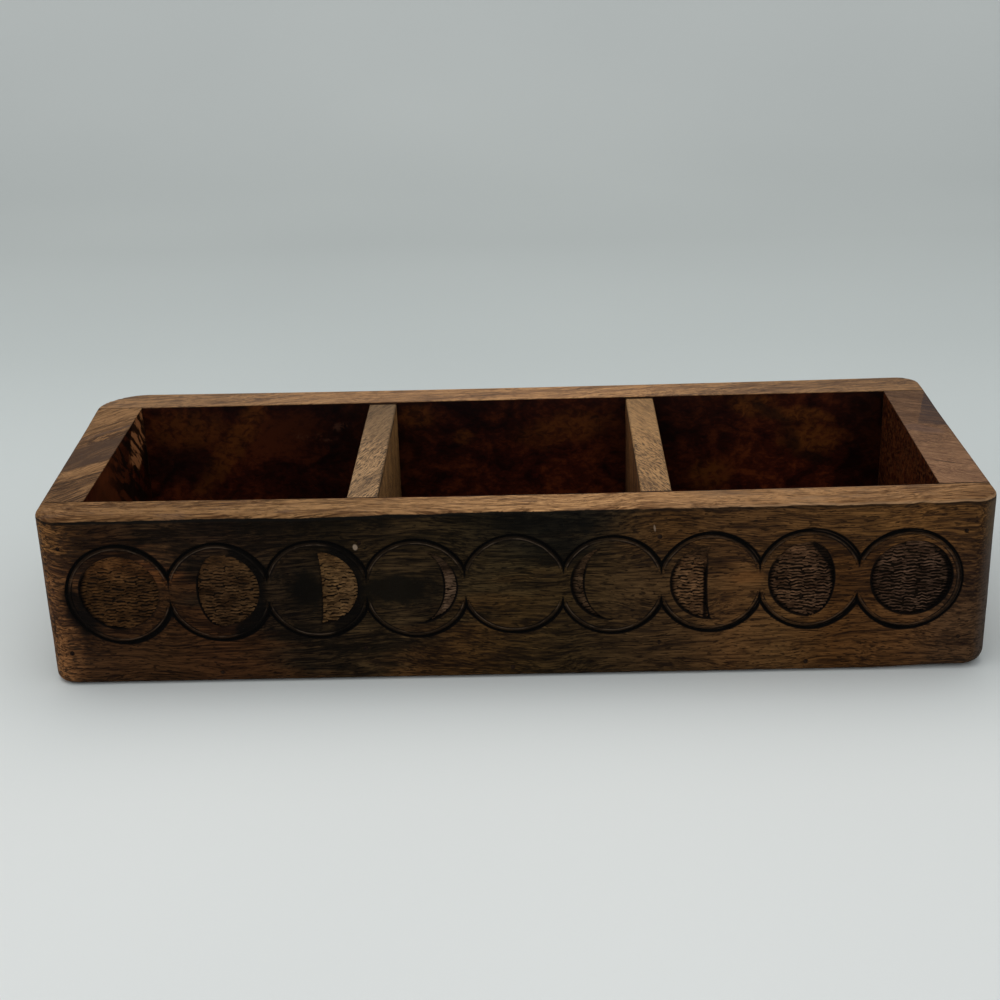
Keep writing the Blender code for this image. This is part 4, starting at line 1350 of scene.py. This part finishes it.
def brad_fillers():
    places = brad_places()
    base = bpy.data.meshes.new("brad holes")
    base.from_pydata([tuple(head - way * DIMPLE_DEPTH) for head, way in places], [], [])
    facing = base.attributes.new("facing", "FLOAT_VECTOR", "POINT")
    facing.data.foreach_set("vector", np.array([way for _, way in places], dtype=np.float32).ravel())
    material = plain_finish("brad filler", 1.0, (0.008, 0.005, 0.004), (0.028, 0.015, 0.009), 0.7, 0.02)
    plugs = grown("brad_fillers", filler_tree(material), {}, base)
    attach(plugs, "root")


def glue_slabs():
    """Low and high corner of each thin gap between glued boards."""
    front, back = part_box("front_board")[1].y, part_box("back_board")[0].y
    left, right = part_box("left_end_board")[1].x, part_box("right_end_board")[0].x
    floor_low, floor_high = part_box("bottom_board")
    slabs = [
        ((floor_low.x, front, floor_low.z), (floor_high.x, floor_low.y, floor_high.z)),
        ((floor_low.x, floor_high.y, floor_low.z), (floor_high.x, back, floor_high.z)),
        ((left, floor_low.y, floor_low.z), (floor_low.x, floor_high.y, floor_high.z)),
        ((floor_high.x, floor_low.y, floor_low.z), (right, floor_high.y, floor_high.z)),
    ]
    for name in ("left_end_board", "right_end_board", "left_divider", "right_divider"):
        low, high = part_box(name)
        slabs.append(((low.x, front, low.z), (high.x, low.y, high.z)))
        slabs.append(((low.x, high.y, low.z), (high.x, back, high.z)))
        if "divider" in name:
            slabs.append(((low.x, low.y, floor_high.z), (high.x, high.y, low.z)))
    return [(np.array(low), np.array(high)) for low, high in slabs]


def glue_lines():
    """Dried glue in every joint, a little lower than the wood around it and running into it at the sides."""
    vertices, faces, start = [], [], 0
    for low, high in glue_slabs():
        grow = np.full(3, -GLUE_INSET)
        grow[np.argmin(high - low)] = GLUE_OVERLAP
        points, triangles = box_surface(low - grow, high + grow, (3.0 * MM,) * 3)
        moved, _ = settle(points, lambda p: block_distance(unsagged(p)) + GLUE_INSET)
        proud = block_distance(unsagged(points)) > -GLUE_INSET
        vertices.append(np.where(proud[:, None], moved, points))
        faces += [[start + i for i in triangle] for triangle in triangles]
        start += len(points)
    material = plain_finish("dried glue", 3.0, (0.016, 0.008, 0.004), (0.045, 0.023, 0.011), 0.6, 0.04)
    piece = make_piece("glue_lines", np.concatenate(vertices), faces, material)
    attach(piece, "root")


# Studio


def camera():
    yaw, tilt, roll = (math.radians(a) for a in (CAMERA_YAW, CAMERA_TILT, CAMERA_ROLL))
    ahead = np.array([math.sin(yaw) * math.cos(tilt), math.cos(yaw) * math.cos(tilt), -math.sin(tilt)])
    level_right = np.array([math.cos(yaw), -math.sin(yaw), 0.0])
    level_up = np.cross(level_right, ahead)
    right = math.cos(roll) * level_right + math.sin(roll) * level_up
    up = -math.sin(roll) * level_right + math.cos(roll) * level_up
    data = bpy.data.cameras.new("camera")
    data.lens = CAMERA_LENS
    data.sensor_width = SENSOR_WIDTH
    data.clip_start, data.clip_end = 0.01, 50.0
    eye = bpy.data.objects.new("camera", data)
    turned = Matrix((right, up, -ahead)).transposed().to_4x4()
    eye.matrix_world = Matrix.Translation(CAMERA_PLACE) @ turned
    bpy.context.scene.collection.objects.link(eye)
    bpy.context.scene.camera = eye


def lamp(name, place, target, size, power, colour):
    data = bpy.data.lights.new(name, "AREA")
    data.shape = "RECTANGLE"
    data.size, data.size_y = size
    data.energy = power
    data.color = colour
    light = bpy.data.objects.new(name, data)
    light.location = place
    light.rotation_euler = (Vector(place) - Vector(target)).to_track_quat("Z", "Y").to_euler()
    bpy.context.scene.collection.objects.link(light)


def backdrop():
    """A pale paper tone, with painted falloff of light that darkens it gently towards the back and faint
    painted blotches of shade.
    """
    g = Finish("backdrop")
    # Painted falloff of light: darker further back, and a little lighter again high up the sweep
    tones = [
        (-300, (0.758, 0.773, 0.763)), (-140, (0.745, 0.758, 0.742)), (-60, (0.68, 0.703, 0.688)),
        (10, (0.628, 0.655, 0.645)), (150, (0.585, 0.618, 0.608)), (320, (0.515, 0.548, 0.538)),
        (560, (0.465, 0.492, 0.482)), (1350, (0.54, 0.562, 0.55)),
    ]
    # Faint painted blotches of shade
    cloudy = g.spread((520.0, 520.0, 380.0), detail=2.0)
    tint = g.ramp(cloudy, [(0.3, (0.96, 0.96, 0.965)), (0.7, (1.04, 1.035, 1.035))])
    g.done(g.tinted(g.along(g.y, tones), tint), 0.9, shine=0.2)
    return g.material


def studio():
    """A sweep that curves up from the floor behind the box, an even sky and one large lamp above."""
    radius, centre_y = 0.6, 0.75
    profile = [(-9.0, 0.0), (-3.0, 0.0), (-0.8, 0.0), (0.0, 0.0), (0.5, 0.0)]
    for k in range(13):
        angle = math.radians(-90 + 90 * k / 12)
        profile.append((centre_y + radius * math.cos(angle), radius + radius * math.sin(angle)))
    profile += [(centre_y + radius, 1.2), (centre_y + radius, 4.0)]
    across = np.linspace(-9.0, 9.0, 9)
    vertices = [(x, y, z) for y, z in profile for x in across]
    count = len(across)
    corners = [r * count + c for r in range(len(profile) - 1) for c in range(count - 1)]
    faces = [(i, i + 1, i + 1 + count, i + count) for i in corners]
    make_piece("studio_sweep", vertices, faces, backdrop())

    world = bpy.data.worlds.new("studio light")
    world.use_nodes = True
    background = world.node_tree.nodes["Background"]
    background.inputs["Color"].default_value = (0.93, 0.97, 1.0, 1.0)
    background.inputs["Strength"].default_value = 0.68
    bpy.context.scene.world = world
    lamp("overhead", (-0.2, 0.16, 1.3), (0.0, 0.0, 0.0), (1.6, 1.2), 9.5, (1.0, 0.985, 0.96))
    bpy.context.scene.view_settings.view_transform = "Standard"


def boards():
    """The seven boards, each with its mesh steps, the axis of its grain and a seed."""
    long_steps = (2.2 * MM, 1.6 * MM, 1.2 * MM)
    end_steps = (1.6 * MM, 1.6 * MM, 1.3 * MM)
    floor_steps = (3.0 * MM, 2.0 * MM, 2.0 * MM)
    divider_steps = (1.2 * MM, 1.4 * MM, 1.4 * MM)
    stained = front_wood()
    worked_board("carved_front_board", "front_board", stained, long_steps, 0, 1, carved=True)
    worked_board("sanded_back_board", "back_board", back_wood(), long_steps, 0, 2)
    worked_board("sanded_left_end", "left_end_board", left_end_wood(), end_steps, 1, 3)
    worked_board("sanded_right_end", "right_end_board", right_end_wood(), end_steps, 1, 4)
    worked_board("floor_board", "bottom_board", bottom_wood(), floor_steps, 0, 5)
    for side, seed in (("left", 6), ("right", 7)):
        material = divider_wood(side)
        name, node = f"eased_{side}_divider", f"{side}_divider"
        worked_board(name, node, material, divider_steps, 1, seed, ease_top=DIVIDER_EASE)


def carried_over():
    """The brads stay as they are in the solids, in drawn steel."""
    wire = steel()
    for name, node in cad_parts.items():
        if "brad" in name:
            node.data.materials.clear()
            node.data.materials.append(wire)


camera()
studio()
boards()
chip_cuts()
brad_fillers()
glue_lines()
carried_over()
